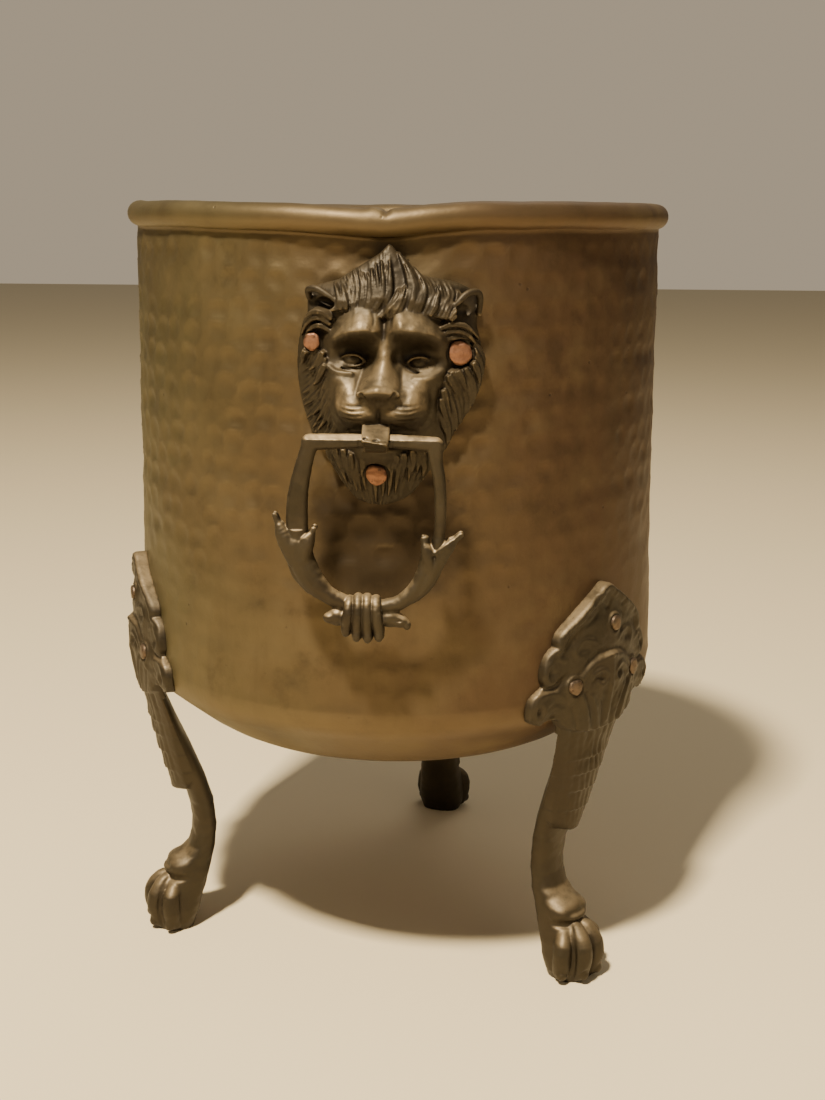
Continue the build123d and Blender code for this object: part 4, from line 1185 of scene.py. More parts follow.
# lines worked into both halves of the front: points x, z; radii; amounts; curve points
SIDE_LINES = [
    # central scroll
    ([(0.3, 150), (5, 149.6), (10, 147.6), (14.5, 144), (18.2, 139), (21, 133)],
     [1, 1.1, 1.2, 1.1, 0.9], [1.5, 1.5, 1.4, 1.2, 0.6]),
    ([(2, 152.6), (7, 151.6), (12.4, 149), (16.8, 144.6)], 1.5, [-0.4, -1.3, -1.3, -0.4]),
    ([(14.4, 138.4), (11.4, 143), (6.8, 145), (3.4, 142.8), (3.4, 139.4), (6, 138), (8, 140)],
     [1, 1, 0.9, 0.9, 0.8, 0.7], [0.8, 1.3, 1.3, 1.2, 1.1, 0.8], 22),
    ([(5.6, 141.4), (6.2, 141.6)], 1.7, -1.5),
    ([(11.6, 138.6), (8.6, 142.2)], 1, [-0.6, -1.2]),
    ([(17.4, 136), (13.8, 129.6), (11.2, 121), (10, 112)], [1.1, 1, 0.9, 0.7],
     [1.2, 1.2, 0.9, 0.2]),
    ([(14.2, 136.4), (10.6, 129.4), (8.2, 121), (7, 114)], [1.1, 1.1, 0.9], [-1.2, -1.3, -0.4]),
    ([(11.4, 134.6), (7.8, 128), (5.4, 119)], [0.9, 0.9, 0.8], [0.9, 1.1, 0.4]),
    ([(20.8, 131.6), (17.4, 123), (14.4, 112)], [0.9, 0.9, 0.8], [-0.9, -1.1, -0.4]),
    ([(3, 135), (3, 124), (2.8, 114)], [1, 0.9, 0.7], [-0.6, -1.2, -0.5]),
    ([(7, 134.4), (4.4, 130.8), (3.6, 126)], 0.8, [-0.4, -0.9, -0.4]),
    # side lobes, each a small scroll
    ([(31.8, 147.6), (32.6, 147)], 4.4, 1.7),
    ([(23.8, 151.2), (29, 152.6), (33.8, 149.8), (34.6, 144.8), (31, 142.6), (28.6, 145.2)],
     [0.9, 1.1, 1.1, 1, 0.8], [0.7, 1.2, 1.3, 1.2, 0.8], 20),
    ([(31.4, 147.2), (31.8, 147)], 1.6, -1.6),
    ([(37.2, 132.8), (38, 132.4)], 5, 2),
    ([(25, 136.2), (31.6, 138.8), (38.6, 137.4), (41.8, 133), (39.8, 128.6), (35.8, 129),
      (35.4, 132.6)], [0.9, 1.1, 1.2, 1.1, 0.9, 0.8], [0.6, 1.1, 1.4, 1.4, 1.2, 0.8], 24),
    ([(38.2, 132.2), (38.6, 132)], 1.5, -1.8),
    ([(22.6, 145.6), (27.8, 141.4), (33, 140.2), (37.4, 141.2)], [1.3, 1.3, 1.2],
     [-0.8, -2, -2, -1]),
    ([(34.4, 126.4), (28.4, 129), (24, 126.2)], 1.3, [-0.8, -1.5, -1.2]),
    ([(24, 133.4), (28.6, 134), (32.6, 132.4)], 1, [-0.6, -1.1, -0.4]),
    # shield field: hollows and a small curled bud
    ([(10.6, 160.4), (14.4, 158.6)], 3.6, -1.4),
    ([(6, 154.6), (10, 157.6), (15.4, 158.2), (19.4, 154.8), (17.6, 151.4)],
     [0.8, 0.9, 1, 0.9, 0.7], [0.3, 1, 1.2, 1, 0.5]),
    ([(13, 154.4), (15.6, 154.4)], 1.5, -1.1),
    ([(20.4, 160), (23.8, 156.6)], 2, -0.9),
    ([(5, 169.6), (9.6, 166), (15, 163.6)], 1.1, [-0.2, -0.9, -0.3])]
# single lines: the middle rib, then two marks near the shield's top
MIDDLE_LINES = [
    ([(0, 147), (0, 136), (0, 122)], [1.7, 1.5, 1.2], [0.6, 1.2, 0.6]),
    ([(-2.4, 172), (-0.5, 169.4), (2.2, 172.4)], 1, [-0.2, -0.7, -0.2]),
    ([(-7, 175), (-9.4, 172.6)], 0.8, -0.8)]

PAW_Y = 103.0       # the toes fan out from this far out
# toes: degrees round the paw, reach, radius, knuckle height
TOES = [(-54, 13.4, 4.2, 21.4), (-18, 14.4, 4.7, 22.6), (18, 14.2, 4.6, 22.6), (54, 13.2, 4.2, 21.4)]


def at_height(stations, z):
    return np.interp(z, *np.array(stations).T)


def shank_field(X, Y, z):
    """The leg's bar: a rounded section, fuller behind than in front."""
    out, inner, half = (at_height(table, z) for table in (LEG_OUT, LEG_IN, LEG_HALF))
    middle, thick = (out + inner) / 2, (out - inner) / 2
    power = np.where(Y > middle[None, None, :], 2.2, 2.8)
    across = np.abs(X / half[None, None, :])
    through = np.abs((Y - middle[None, None, :]) / thick[None, None, :])
    size = (across ** power + through ** power) ** (1 / power)
    shank = (size - 1) * np.minimum(half, thick)[None, None, :] * 1.1
    return np.maximum(shank.astype(np.float32), z[None, None, :] - 131.0), middle


def front_relief(clay):
    """The front as one relief, shield above and long leaf below, with their edges."""
    relief = Relief(clay.axes[0], clay.axes[2], clay.step)
    x, z = relief.across[:, None], relief.up[None, :]
    aside = np.abs(x)
    wall = wall_radius(np.maximum(z, WALL_FOOT_Z)) - 0.12 * np.clip(WALL_FOOT_Z - z, 0, 40)
    left = [(-a, b) for a, b in SHIELD[1:]][::-1]
    edge = outline_distance(x, z, closed_curve(SHIELD + left, 400))
    proud = (4.4 - 2.0 * smoothstep(12, 36, aside)
             + 1.2 * smoothstep(170, 158, z) * bell(aside, 16))
    lip = smoothstep(0.0, 0.9, -edge) - smoothstep(2.2, 4.4, -edge)
    proud = proud + 1.3 * lip * smoothstep(152, 157, z)
    shield = np.sqrt(np.maximum((wall + proud) ** 2 - x ** 2, 0))

    half = at_height(LEAF_HALF, z)
    wide = np.maximum(half, 0.01)
    share = np.clip(aside / wide, 0, 1)
    tooth = np.zeros_like(z)
    for a, b in zip(TEETH[:-1], TEETH[1:]):
        tooth = np.where((z >= a) & (z < b), ((b - z) / (b - a)) ** 1.3, tooth)
    tooth = tooth * smoothstep(113, 104, z)
    drop = np.interp(z, (66, 100, 122, 140, 152), (5.2, 6.4, 6.2, 5.4, 3.4))
    leaf = (at_height(LEAF_OUT, z) - drop * share ** 2.4
            + 1.0 * tooth * smoothstep(0.95, 0.30, share))
    leaf_edge = aside - half - 0.3 * tooth
    # flutes that fan from the tip, then short upright bars
    fan = np.abs(np.cos(np.pi * 4.5 * x / np.maximum(wide, 6))) ** 0.6
    leaf = leaf + (0.50 * (fan - 1) * smoothstep(69, 75, z) * smoothstep(121, 113, z)
                   * smoothstep(0.95, 0.75, share))
    bars = np.abs(np.cos(np.pi * x / 3.1)) ** 0.6
    leaf = leaf + (0.55 * (bars - 1) * smoothstep(99, 101, z) * smoothstep(115, 112, z)
                   * smoothstep(10, 8, aside))
    in_leaf = (leaf_edge < 0) & (z > 66.6) & (z < 151.2)
    on_shield = np.where(in_leaf, np.maximum(leaf, shield), shield)
    relief.heights = np.where(edge < 0, on_shield, np.where(z < 130, leaf, shield))

    for side in (-1, 1):
        for points, radii, amounts, *count in SIDE_LINES:
            # the side lobes are drawn in towards the middle
            points = [(side * (a if a < 27 else 27 + (a - 27) * 0.76), b) for a, b in points]
            relief.stroke(points, radii, 0.55 * np.asarray(amounts, float), *count)
    for line in MIDDLE_LINES:
        relief.stroke(*line)
    # knocks along the upper edges
    rng = np.random.default_rng(33)
    for k in range(22):
        t = rng.uniform(0, 1)
        side = 1 if k % 2 else -1
        x0, z0 = 28.6 * t, 179.0 - 19.4 * t
        relief.stroke([(side * x0, z0 - 0.6), (side * (x0 + rng.uniform(-0.8, 0.8)), z0 - 1.6)],
                      rng.uniform(0.4, 0.9), rng.uniform(-0.7, -0.2))
    relief.soften(2)
    relief.roughen(noise_grid(28, (90, 150)), (-50, -2), (1.9, 0.12), (0.9, 0.06))
    return relief, edge[::2, ::2], leaf_edge[::2, ::2]


def model_paw(clay):
    rope = partial(clay.rope, smooth=12)

    def fan(degrees, stations):
        """Places from (reach across, reach out, z), turned to a direction of the paw."""
        a = math.radians(degrees)
        return [(math.sin(a) * i, PAW_Y + math.cos(a) * j, z) for i, j, z in stations]

    # ankle swelling, its fold and the groove below
    clay.ball((0, 102.6, 30), (9.8, 8, 6.2), 2.0)
    for side in (-1, 1):
        clay.ball((side * 5.6, 104.4, 29.6), (4.6, 5.6, 4.2), 1.2)
    rope([(-9.6, 104, 28.2), (-5, 109.6, 28.2), (0, 110.8, 28), (5, 109.6, 28.2),
          (9.6, 104, 28.2)], [1, 1.3, 1.6, 1.3, 1], 1.0)
    rope([(-12.6, 100, 25.4), (-8.4, 108.6, 25), (0, 112.6, 24.8), (8.4, 108.6, 25),
          (12.6, 100, 25.4)], [0.6, 0.9, 1, 0.9, 0.6], 0.8, cut=True)
    for degrees, reach, w, z in TOES:
        clay.rope(fan(degrees, [(reach - 9.5, reach - 9.0, z + 1.0),
                                (reach - 4.4, reach - 3.8, z - 1.0),
                                (reach - 0.7, reach - 0.4, 16.2), (reach, reach, 10.4),
                                (reach - 1.6, reach - 1.8, 4.2)]),
                  [w - 1.6, w - 0.8, w - 0.1, w - 0.1, w - 0.6], 0.3, smooth=20)
        knuckle, nail, middle = fan(degrees, [(reach - 3.2, reach - 2.8, z - 4.0),
                                              (reach + 1.6, reach + 1.6, 4.4),
                                              (reach + 4.2, reach + 4.2, 7.6)])
        clay.ball(knuckle, (w - 0.1, w, w - 0.3), 0.6)
        # the nail, a small blunt point low on the toe, and the groove over it
        clay.ball(nail, (2.3, 2.3, 2.6), 0.5)
        (x, y, low), = fan(degrees, [(reach + 3.2, reach + 3.2, 6.6)])
        dx, dy = 2.2 * math.cos(math.radians(degrees)), 2.2 * math.sin(math.radians(degrees))
        rope([(x - dx, y + dy, low), middle, (x + dx, y - dy, low)],
             [0.35, 0.5, 0.35], 0.4, cut=True)
    # gaps between the toes
    for degrees in (-36, 0, 36):
        rope(fan(degrees, [(8, 9.4, 25.6), (13.6, 14.2, 21.5), (15.6, 16.2, 15),
                           (15.6, 16.4, 8), (13.6, 14, 0.5)]),
             [0.4, 0.75, 0.9, 0.9, 0.8], 0.6, cut=True)
    # the fold across each side toe and up the ankle's flank
    for side in (-1, 1):
        rope([(side * 14.6, 104.4, 12), (side * 13, 99.6, 16.4), (side * 10.2, 96, 20.4)],
             [0.5, 0.9, 0.5], 0.8, cut=True)


def seat_leg_rivets(clay):
    for degrees, z, head, seat in LEG_RIVETS:
        nx, ny = math.sin(math.radians(degrees)), math.cos(math.radians(degrees))
        x, y = nx * seat, ny * seat
        # a pad, then the room over it: margin round the head, depth from and to,
        # the window's y margins, blend, cut
        for margin, low, high, y0, y1, blend, cut in ((1.0, -4.0, 0.0, -6, 2, 1.2, False),
                                                      (0.5, 0.0, 12.0, -1, 12, 0.35, True)):
            def disc(X, Y, Z):
                out = (X - x) * nx + (Y - y) * ny
                aside = np.sqrt(((X - x) * ny - (Y - y) * nx) ** 2 + (Z - z) ** 2)
                return np.maximum(aside - (head + margin), np.maximum(out - high, low - out))
            clay.put(disc, (x - head - 3, y + y0, z - head - 3),
                     (x + head + 3, y + y1, z + head + 3), blend, cut)


def build_leg(step):
    clay = Clay((-47, 84, -1.5), (47, 128, 182.5), step)
    X, Y, Z = np.ix_(*clay.axes)
    z = clay.axes[2]
    shank, middle = shank_field(X, Y, z)
    relief, edge, leaf_edge = front_relief(clay)
    leaf_edge = np.maximum(leaf_edge, np.maximum(66.8 - z, z - 151.0)[None, :])
    front, slope = relief.on_clay(steepest=16.0)
    front = (Y - front[:, None, :]) / slope[:, None, :]
    plate = smax(front, edge[:, None, :], 0.6)
    leaf = smax(front, leaf_edge[:, None, :], 0.7)
    from_pot = np.sqrt(X * X + Y * Y)
    wall = wall_radius(np.maximum(z, WALL_FOOT_Z)) - 0.6
    plate_back = np.where(z > 132, wall, 115.8 - (132 - z) * 0.30)
    plate = smax(plate, plate_back[None, None, :] - from_pot, 0.5)
    leaf_back = np.where(z > 118, at_height(LEG_IN, z), middle - 1.0)
    leaf = smax(leaf, leaf_back[None, None, :] - Y, 0.5)
    clay.field[:] = smin(smin(shank, leaf, 0.5), plate, 0.8)

    # step under the leaf's tip
    clay.rope([(-11, 99.6, 72.4), (-8, 104, 67.6), (0, 106.4, 65.2), (8, 104, 67.6),
               (11, 99.6, 72.4)], [0.5, 1, 1.3, 1, 0.5], 0.3, cut=True, smooth=12)
    model_paw(clay)
    seat_leg_rivets(clay)

    # rough skin lower down, clear of the pot's skin, flat sole
    clay.roughen(noise_grid(29, (80, 120)), (-50, -2), size=2.3,
                 amount=smoothstep(72, 60, z)[None, :] * 0.16)
    corner = np.interp(z, CORNER[::-1, 1], CORNER[::-1, 0]) - 0.3
    skin = np.where(z < WALL_FOOT_Z, corner, wall)
    skin = np.where(z < 98, 0, skin)
    clay.field[:] = np.maximum(clay.field, skin[None, None, :] - from_pot)
    clay.field[:] = np.maximum(clay.field, -Z)
    verts, quads = keep_largest(*clay.surface())
    return np.stack([verts[:, 0], -verts[:, 1], verts[:, 2]], 1), quads[:, ::-1]


# ------------------------------------------------------------------ rivets
def rivet_cap(rng, degrees, z, radius, foot, tall, outward, rough):
    """One peened head, uneven and a little mushroomed: points, quads, triangles."""
    angle = math.radians(degrees)
    segments = 40
    th = np.linspace(0, TURN, segments, endpoint=False)
    lump = 1 + rough * (0.55 * np.sin(th * 2 + rng.uniform(0, 6))
                        + 0.35 * np.sin(3 * th + rng.uniform(0, 6))
                        + 0.25 * np.sin(5 * th + rng.uniform(0, 6)))
    grid = rng.uniform(-1, 1, (9, 9))
    # the profile: share of the radius, share of the height
    profile = [(0.86, -0.25)] + [(1.0 - 0.02 * k, 0.09 * k) for k in range(3)]
    profile += [(math.cos(t), 0.22 + 0.78 * math.sin(t))
                for t in np.linspace(0.22, math.pi / 2 - 0.12, 10)]
    rings = []
    for share, rise in profile:
        r = radius * share * (lump if share > 0.3 else 1 + (lump - 1) * share / 0.3)
        x, y = r * np.cos(th), r * np.sin(th)
        height = np.full(segments, tall * rise)
        if rise > 0.2:
            height = height + tall * rough * 1.6 * sample_grid(
                grid, (x / radius + 1) * 3.9, (y / radius + 1) * 3.9)
            # the hammered flat on top
            flat = 0.80 + 0.06 * np.sin(x * 1.3 + 1) + 0.05 * np.cos(y * 1.7)
            height = np.minimum(height, tall * flat)
        rings.append(np.stack([x, y, height], 1))
    points = np.vstack(rings + [[[0, 0, tall * 0.8]]])
    out = foot + (1 if outward else -1) * points[:, 2]
    verts = np.stack([math.sin(angle) * out + math.cos(angle) * points[:, 0],
                      -math.cos(angle) * out + math.sin(angle) * points[:, 0],
                      z + points[:, 1]], 1)
    quads = grid_quads(len(rings), segments, wrap_columns=False, wrap_rows=True)[:, [0, 3, 2, 1]]
    j = np.arange(segments)
    last = (len(rings) - 1) * segments
    tip = np.full(segments, len(rings) * segments)
    tris = np.stack([last + j, last + (j + 1) % segments, tip], 1)
    return (verts, quads, tris) if outward else (verts, quads[:, ::-1], tris[:, ::-1])


def build_rivets(name, rivets, turn, seed):
    rng = np.random.default_rng(seed)
    caps = []
    for degrees, z, head, seat in rivets:
        caps.append(rivet_cap(rng, degrees + turn, z, radius=head, foot=seat - 0.05,
                              tall=1.9 if head > 3.5 else 1.7, outward=True, rough=0.085))
        caps.append(rivet_cap(rng, degrees + turn, z, radius=4.0,
                              foot=float(wall_radius(z)) - SHEET + 0.5, tall=2.3,
                              outward=False, rough=0.03))
    verts, quads, tris = zip(*caps)
    count = len(verts[0])
    quads, tris = (np.vstack([faces + i * count for i, faces in enumerate(sets)])
                   for sets in (quads, tris))
    return make_mesh(name, np.vstack(verts), quads, tris)


# ------------------------------------------------------------------ materials
def rgba(colour):
    """A colour as four numbers; a socket is passed through."""
    return colour if isinstance(colour, bpy.types.NodeSocket) else (*colour, 1)


class Nodes:
    """Builds the node tree of a material or a world."""

    def __init__(self, owner):
        owner.use_nodes = True
        self.owner = owner
        self.tree = owner.node_tree
        self.tree.nodes.clear()

    def add(self, kind, inputs=None, **settings):
        node = self.tree.nodes.new("ShaderNode" + kind)
        for key, value in settings.items():
            setattr(node, key, value)
        for key, value in (inputs or {}).items():
            if isinstance(value, bpy.types.NodeSocket):
                self.tree.links.new(value, node.inputs[key])
            else:
                node.inputs[key].default_value = value
        return node

    def finish(self, colour, roughness, metallic=0.0, normal=None):
        """Join the surface to the output and return the material."""
        inputs = {"Base Color": rgba(colour), "Roughness": roughness, "Metallic": metallic}
        if normal is not None:
            inputs["Normal"] = normal
        shader = self.add("BsdfPrincipled", inputs)
        self.add("OutputMaterial", {0: shader.outputs[0]})
        return self.owner

    @cached_property
    def coord(self):
        return self.add("TexCoord").outputs["Object"]

    def mapped(self, scale):
        return self.add("Mapping", {"Scale": scale, 0: self.coord}).outputs[0]

    def noise(self, scale, detail, rough, vector=None):
        return self.add("TexNoise", {
            "Scale": scale, "Detail": detail, "Roughness": rough,
            "Vector": self.coord if vector is None else vector}).outputs["Fac"]

    def ramp(self, factor, *stops):
        """Eased steps from (position, grey or colour) to the next."""
        node = self.add("ValToRGB", {0: factor})
        ramp = node.color_ramp
        ramp.interpolation = "EASE"
        while len(ramp.elements) < len(stops):
            ramp.elements.new(0.5)
        for element, (position, value) in zip(ramp.elements, stops):
            element.position = position
            element.color = rgba((value,) * 3 if np.isscalar(value) else value)
        return node.outputs[0]

    def mix(self, factor, a, b):
        return self.add("Mix", {0: factor, 6: rgba(a), 7: rgba(b)}, data_type="RGBA",
                        blend_type="MIX", clamp_factor=True).outputs[2]

    def math(self, operation, *values, clamp=False):
        return self.add("Math", dict(enumerate(values)), operation=operation,
                        use_clamp=clamp).outputs[0]

    def axis(self, which):
        return self.add("SeparateXYZ", {0: self.coord}).outputs[which]

    def bump(self, height, strength, distance, normal=None):
        inputs = {"Strength": strength, "Distance": distance, "Height": height}
        if normal is not None:
            inputs["Normal"] = normal
        return self.add("Bump", inputs).outputs[0]

    def stored(self, label):
        return self.add("Attribute", attribute_name=label).outputs["Fac"]

    def pointiness(self):
        return self.add("NewGeometry").outputs["Pointiness"]

    def occlusion(self, distance):
        return self.add("AmbientOcclusion", {"Distance": distance}, samples=6).outputs["AO"]


def material_nodes(name):
    return Nodes(bpy.data.materials.new(name))


def sheet_material():
    n = material_nodes("hammered_sheet")
    olive, brown, red = (0.104, 0.086, 0.038), (0.098, 0.067, 0.032), (0.080, 0.046, 0.023)
    pale, streaked, cloudy_dark = (0.170, 0.128, 0.062), (0.062, 0.042, 0.020), (0.038, 0.025, 0.013)
    # the second colour on the next line is the painted shadow behind the front ring
    verdigris, painted_shadow_colour, pitted = (0.080, 0.095, 0.046), (0.030, 0.019, 0.010), (0.030, 0.019, 0.012)
    speckled, rubbed, hollow_dark = (0.050, 0.034, 0.018), (0.22, 0.165, 0.085), (0.070, 0.046, 0.022)

    # the hue drifts from olive on the left to red on the right, with a wavering edge
    x = n.axis(0)
    drift = n.math("MULTIPLY_ADD", x, 3.8, 0.54)
    waver = n.math("MULTIPLY_ADD", n.noise(scale=9.0, detail=3, rough=0.5), 0.60, -0.30)
    hue = n.math("ADD", drift, waver, clamp=True)
    colour = n.ramp(hue, (0.12, olive), (0.48, brown), (0.86, red))
    cloud = n.noise(scale=24.0, detail=5, rough=0.62)
    colour = n.mix(n.ramp(cloud, (0.44, 0), (0.74, 0.42)), colour, pale)
    # upright streaks
    streak = n.noise(scale=1.0, detail=5, rough=0.6, vector=n.mapped(scale=(85, 85, 10)))
    colour = n.mix(n.ramp(streak, (0.44, 0), (0.74, 0.26)), colour, streaked)
    dark = n.noise(scale=48.0, detail=6, rough=0.7)
    colour = n.mix(n.ramp(dark, (0.30, 0.34), (0.47, 0)), colour, cloudy_dark)
    green = n.ramp(n.noise(scale=34.0, detail=6, rough=0.72), (0.60, 0), (0.76, 0.40))
    left = n.ramp(hue, (0.2, 1), (0.55, 0))
    colour = n.mix(n.math("MULTIPLY", green, left), colour, verdigris)
    # painted shadow: darker behind the front ring, in a ragged oval, where the lion head's shadow
    # falls
    across = n.math("MULTIPLY_ADD", x, 27.0, -0.07)
    up = n.math("MULTIPLY_ADD", n.axis(2), 30.0, -6.15)
    oval = n.math("ADD", n.math("MULTIPLY", across, across), n.math("MULTIPLY", up, up))
    ragged = n.math("MULTIPLY_ADD", n.noise(scale=46.0, detail=5, rough=0.65), 1.3, -0.65)
    oval = n.math("ADD", oval, ragged)
    front = n.ramp(n.math("MULTIPLY", n.axis(1), -10.0), (0.2, 0), (0.6, 1))
    painted_shadow = n.math("MULTIPLY", n.ramp(oval, (0.35, 0.74), (1.0, 0)), front)
    colour = n.mix(painted_shadow, colour, painted_shadow_colour)
    # scattered pits and specks
    spots = n.add("TexVoronoi", {"Scale": 120.0, "Vector": n.coord}, feature="F1")
    patches = n.ramp(n.noise(scale=30.0, detail=3, rough=0.6), (0.52, 0), (0.60, 1))
    pit = n.math("MULTIPLY", n.ramp(spots.outputs["Distance"], (0.03, 1), (0.10, 0)), patches)
    colour = n.mix(n.math("MULTIPLY", pit, 0.75), colour, pitted)
    specks = n.ramp(n.noise(scale=260.0, detail=5, rough=0.7), (0.66, 0), (0.74, 0.35))
    colour = n.mix(specks, colour, speckled)
    # ridges rubbed bright, hollows darker
    colour = n.mix(n.ramp(n.pointiness(), (0.505, 0), (0.56, 0.55)), colour, rubbed)
    colour = n.mix(n.ramp(n.pointiness(), (0.44, 0.5), (0.495, 0)), colour, hollow_dark)

    roughness = n.ramp(cloud, (0.30, 0.44), (0.75, 0.60))
    fine = n.noise(scale=420.0, detail=4, rough=0.6)
    grain = n.noise(scale=1.0, detail=3, rough=0.6, vector=n.mapped(scale=(500, 500, 60)))
    normal = n.bump(fine, strength=0.20, distance=0.0004)
    normal = n.bump(grain, strength=0.10, distance=0.0003, normal=normal)
    normal = n.bump(cloud, strength=0.35, distance=0.0008, normal=normal)
    normal = n.bump(n.math("MULTIPLY", pit, -1.0), strength=0.5, distance=0.0004, normal=normal)
    return n.finish(colour, roughness, metallic=0.62, normal=normal)


def cast_material(name, lift, wear_top, top, far_top, hair_z=None):
    """Dark cast metal, rubbed bright where it stands proud, with painted light on it: faces
    turned up are lightened as painted top light, and hollows and undersides darkened as
    painted shade.

    lift scales the base colours; wear_top caps all the brightening in patches, top the
    painted top light on faces turned up, and far_top the rubbing on broad swellings;
    above hair_z the casting stays dull.
    """
    n = material_nodes(name)
    base, grey, brown = (tuple(c * lift for c in colour) for colour in (
        (0.078, 0.058, 0.029), (0.120, 0.089, 0.046), (0.085, 0.052, 0.026)))
    bright, pitted = (0.50, 0.37, 0.21), (0.035, 0.025, 0.016)
    # the first colour on the next line darkens hollows as grime and as painted shade; the second is
    # painted shade under faces turned down
    dirt_and_shade, under, dull_hair = (0.016, 0.011, 0.007), (0.020, 0.014, 0.008), (0.022, 0.016, 0.009)

    cloud = n.noise(scale=60.0, detail=5, rough=0.6)
    colour = n.mix(n.ramp(cloud, (0.35, 0), (0.65, 1)), base, grey)
    browned = n.ramp(n.noise(scale=22.0, detail=4, rough=0.6), (0.45, 0), (0.75, 0.55))
    colour = n.mix(browned, colour, brown)
    near, far = n.stored("near"), n.stored("far")
    # grime left in the hollows, with painted shade: hollows and places that ambient occlusion finds
    # are darkened as if shaded
    low = n.math("MAXIMUM", n.ramp(near, (0.20, 0.9), (0.46, 0)),
                 n.ramp(far, (0.18, 0.95), (0.46, 0)))
    low = n.math("MAXIMUM", low, n.ramp(n.occlusion(distance=0.008), (0.25, 0.9), (0.85, 0)))
    colour = n.mix(low, colour, dirt_and_shade)
    # high places rubbed bright, the bare face most; painted top light: faces turned up are
    # lightened, and the bare face brightens only where it faces up or forward
    high = n.math("MAXIMUM", n.ramp(near, (0.64, 0), (0.97, 0.26)),
                  n.ramp(far, (0.64, 0), (0.97, far_top)))
    tilt = n.stored("up")
    painted_top_light = n.ramp(tilt, (0.62, 0), (0.93, top))
    bare = n.math("MULTIPLY", n.ramp(n.stored("stand"), (0.16, 0), (0.85, 0.44)),
                  n.ramp(far, (0.40, 0), (0.56, 1)))
    bare = n.math("MULTIPLY", bare, n.ramp(tilt, (0.40, 0), (0.60, 1)))
    high = n.math("MAXIMUM", high, n.math("MAXIMUM", painted_top_light, bare))
    # painted shade: faces turned down are darkened
    colour = n.mix(n.ramp(tilt, (0.16, 0.75), (0.46, 0)), colour, under)
    if hair_z is not None:
        # the crest of hair above the brow stays dull
        start, end = hair_z - 0.0015, hair_z + 0.0015
        high = n.math("MULTIPLY", high, n.ramp(n.axis(2), (start, 1), (end, 0.42)))
        colour = n.mix(n.ramp(n.axis(2), (start, 0), (end, 0.38)), colour, dull_hair)
    patch = n.ramp(n.noise(scale=110.0, detail=5, rough=0.65), (0.34, 0.30), (0.58, wear_top))
    # the rubbed brightening together with the painted top light, in patches
    wear_and_top_light = n.math("MULTIPLY", high, patch)
    colour = n.mix(wear_and_top_light, colour, bright)
    pits = n.ramp(n.noise(scale=380.0, detail=4, rough=0.65), (0.62, 0), (0.72, 0.5))
    colour = n.mix(pits, colour, pitted)

    roughness = n.mix(wear_and_top_light, n.ramp(cloud, (0.3, 0.46), (0.7, 0.60)), (0.42, 0.42, 0.42))
    fine = n.noise(scale=700.0, detail=4, rough=0.6)
    normal = n.bump(n.noise(scale=180.0, detail=4, rough=0.6), strength=0.35, distance=0.0006)
    normal = n.bump(fine, strength=0.30, distance=0.0002, normal=normal)
    return n.finish(colour, roughness, metallic=0.50, normal=normal)


def rivet_material(name, light, dark):
    n = material_nodes(name)
    mottle = n.ramp(n.noise(scale=240.0, detail=4, rough=0.6), (0.35, 0), (0.65, 1))
    spots = n.ramp(n.noise(scale=330.0, detail=4, rough=0.65), (0.56, 0), (0.66, 0.85))
    colour = n.mix(spots, n.mix(mottle, light, dark), (0.055, 0.030, 0.020))
    # painted shade: the crevice round each head is darkened by ambient occlusion
    crevice_shade = n.ramp(n.occlusion(distance=0.003), (0.3, 0.9), (0.85, 0))
    colour = n.mix(crevice_shade, colour, (0.02, 0.013, 0.010))
    normal = n.bump(n.noise(scale=520.0, detail=4, rough=0.6), strength=0.3, distance=0.0003)
    normal = n.bump(n.noise(scale=170.0, detail=3, rough=0.6), strength=0.5, distance=0.0006,
                    normal=normal)
    return n.finish(colour, roughness=0.50, metallic=0.72, normal=normal)


def wire_material():
    n = material_nodes("iron_wire")
    rust = n.ramp(n.noise(scale=300.0, detail=4, rough=0.6), (0.4, 0), (0.6, 1))
    colour = n.mix(rust, (0.10, 0.085, 0.075), (0.16, 0.10, 0.07))
    return n.finish(colour, roughness=0.6, metallic=0.7)


# ------------------------------------------------------------------ assemble
def register(ob, material, body, node):
    ob.data.materials.append(material)
    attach(ob, body)
    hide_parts(node)


mat_sheet = sheet_material()
# top sets each casting's painted top light on faces turned up
mat_mask = cast_material("cast_mask", lift=0.38, wear_top=0.95, top=0.22, far_top=0.62,
                         hair_z=0.2920)
mat_leg = cast_material("cast_leg", lift=0.34, wear_top=0.8, top=0.46, far_top=0.45)
mat_ring = cast_material("cast_ring", lift=0.38, wear_top=0.95, top=0.80, far_top=0.30)
mat_rivet = rivet_material("copper_rivet", light=(0.30, 0.148, 0.088), dark=(0.20, 0.096, 0.058))
mat_leg_rivet = rivet_material("copper_leg_rivet", light=(0.145, 0.100, 0.066),
                               dark=(0.090, 0.064, 0.042))

for shell in (build_pot_outside(), build_pot_inside()):
    register(shell, mat_sheet, "pot", "pot_shell")

ENDS = {"front": 0, "rear": 180}

verts, quads = build_mask(0.38)
verts = relax(verts, quads, rounds=1)
for end, turn in ENDS.items():
    ob = make_mesh(f"{end}_lion_casting", turned(wrap_on_wall(verts), turn), quads)
    store_tones(ob, quads, near_scale=0.36, far_scale=1.9, far_rounds=26,
                stand=(verts[:, 2] - 10.5) / 6.0)
    register(ob, mat_mask, "pot", f"{end}_lion_mask")

verts, quads = build_ring(0.36)
verts = relax(verts, quads, rounds=1)
for end, turn in ENDS.items():
    ob = make_mesh(f"{end}_ring_casting", turned(verts, turn), quads)
    store_tones(ob, quads, near_scale=0.5, far_scale=2.4, far_rounds=26)
    register(ob, mat_ring, f"{end}_ring", f"{end}_ring_handle")

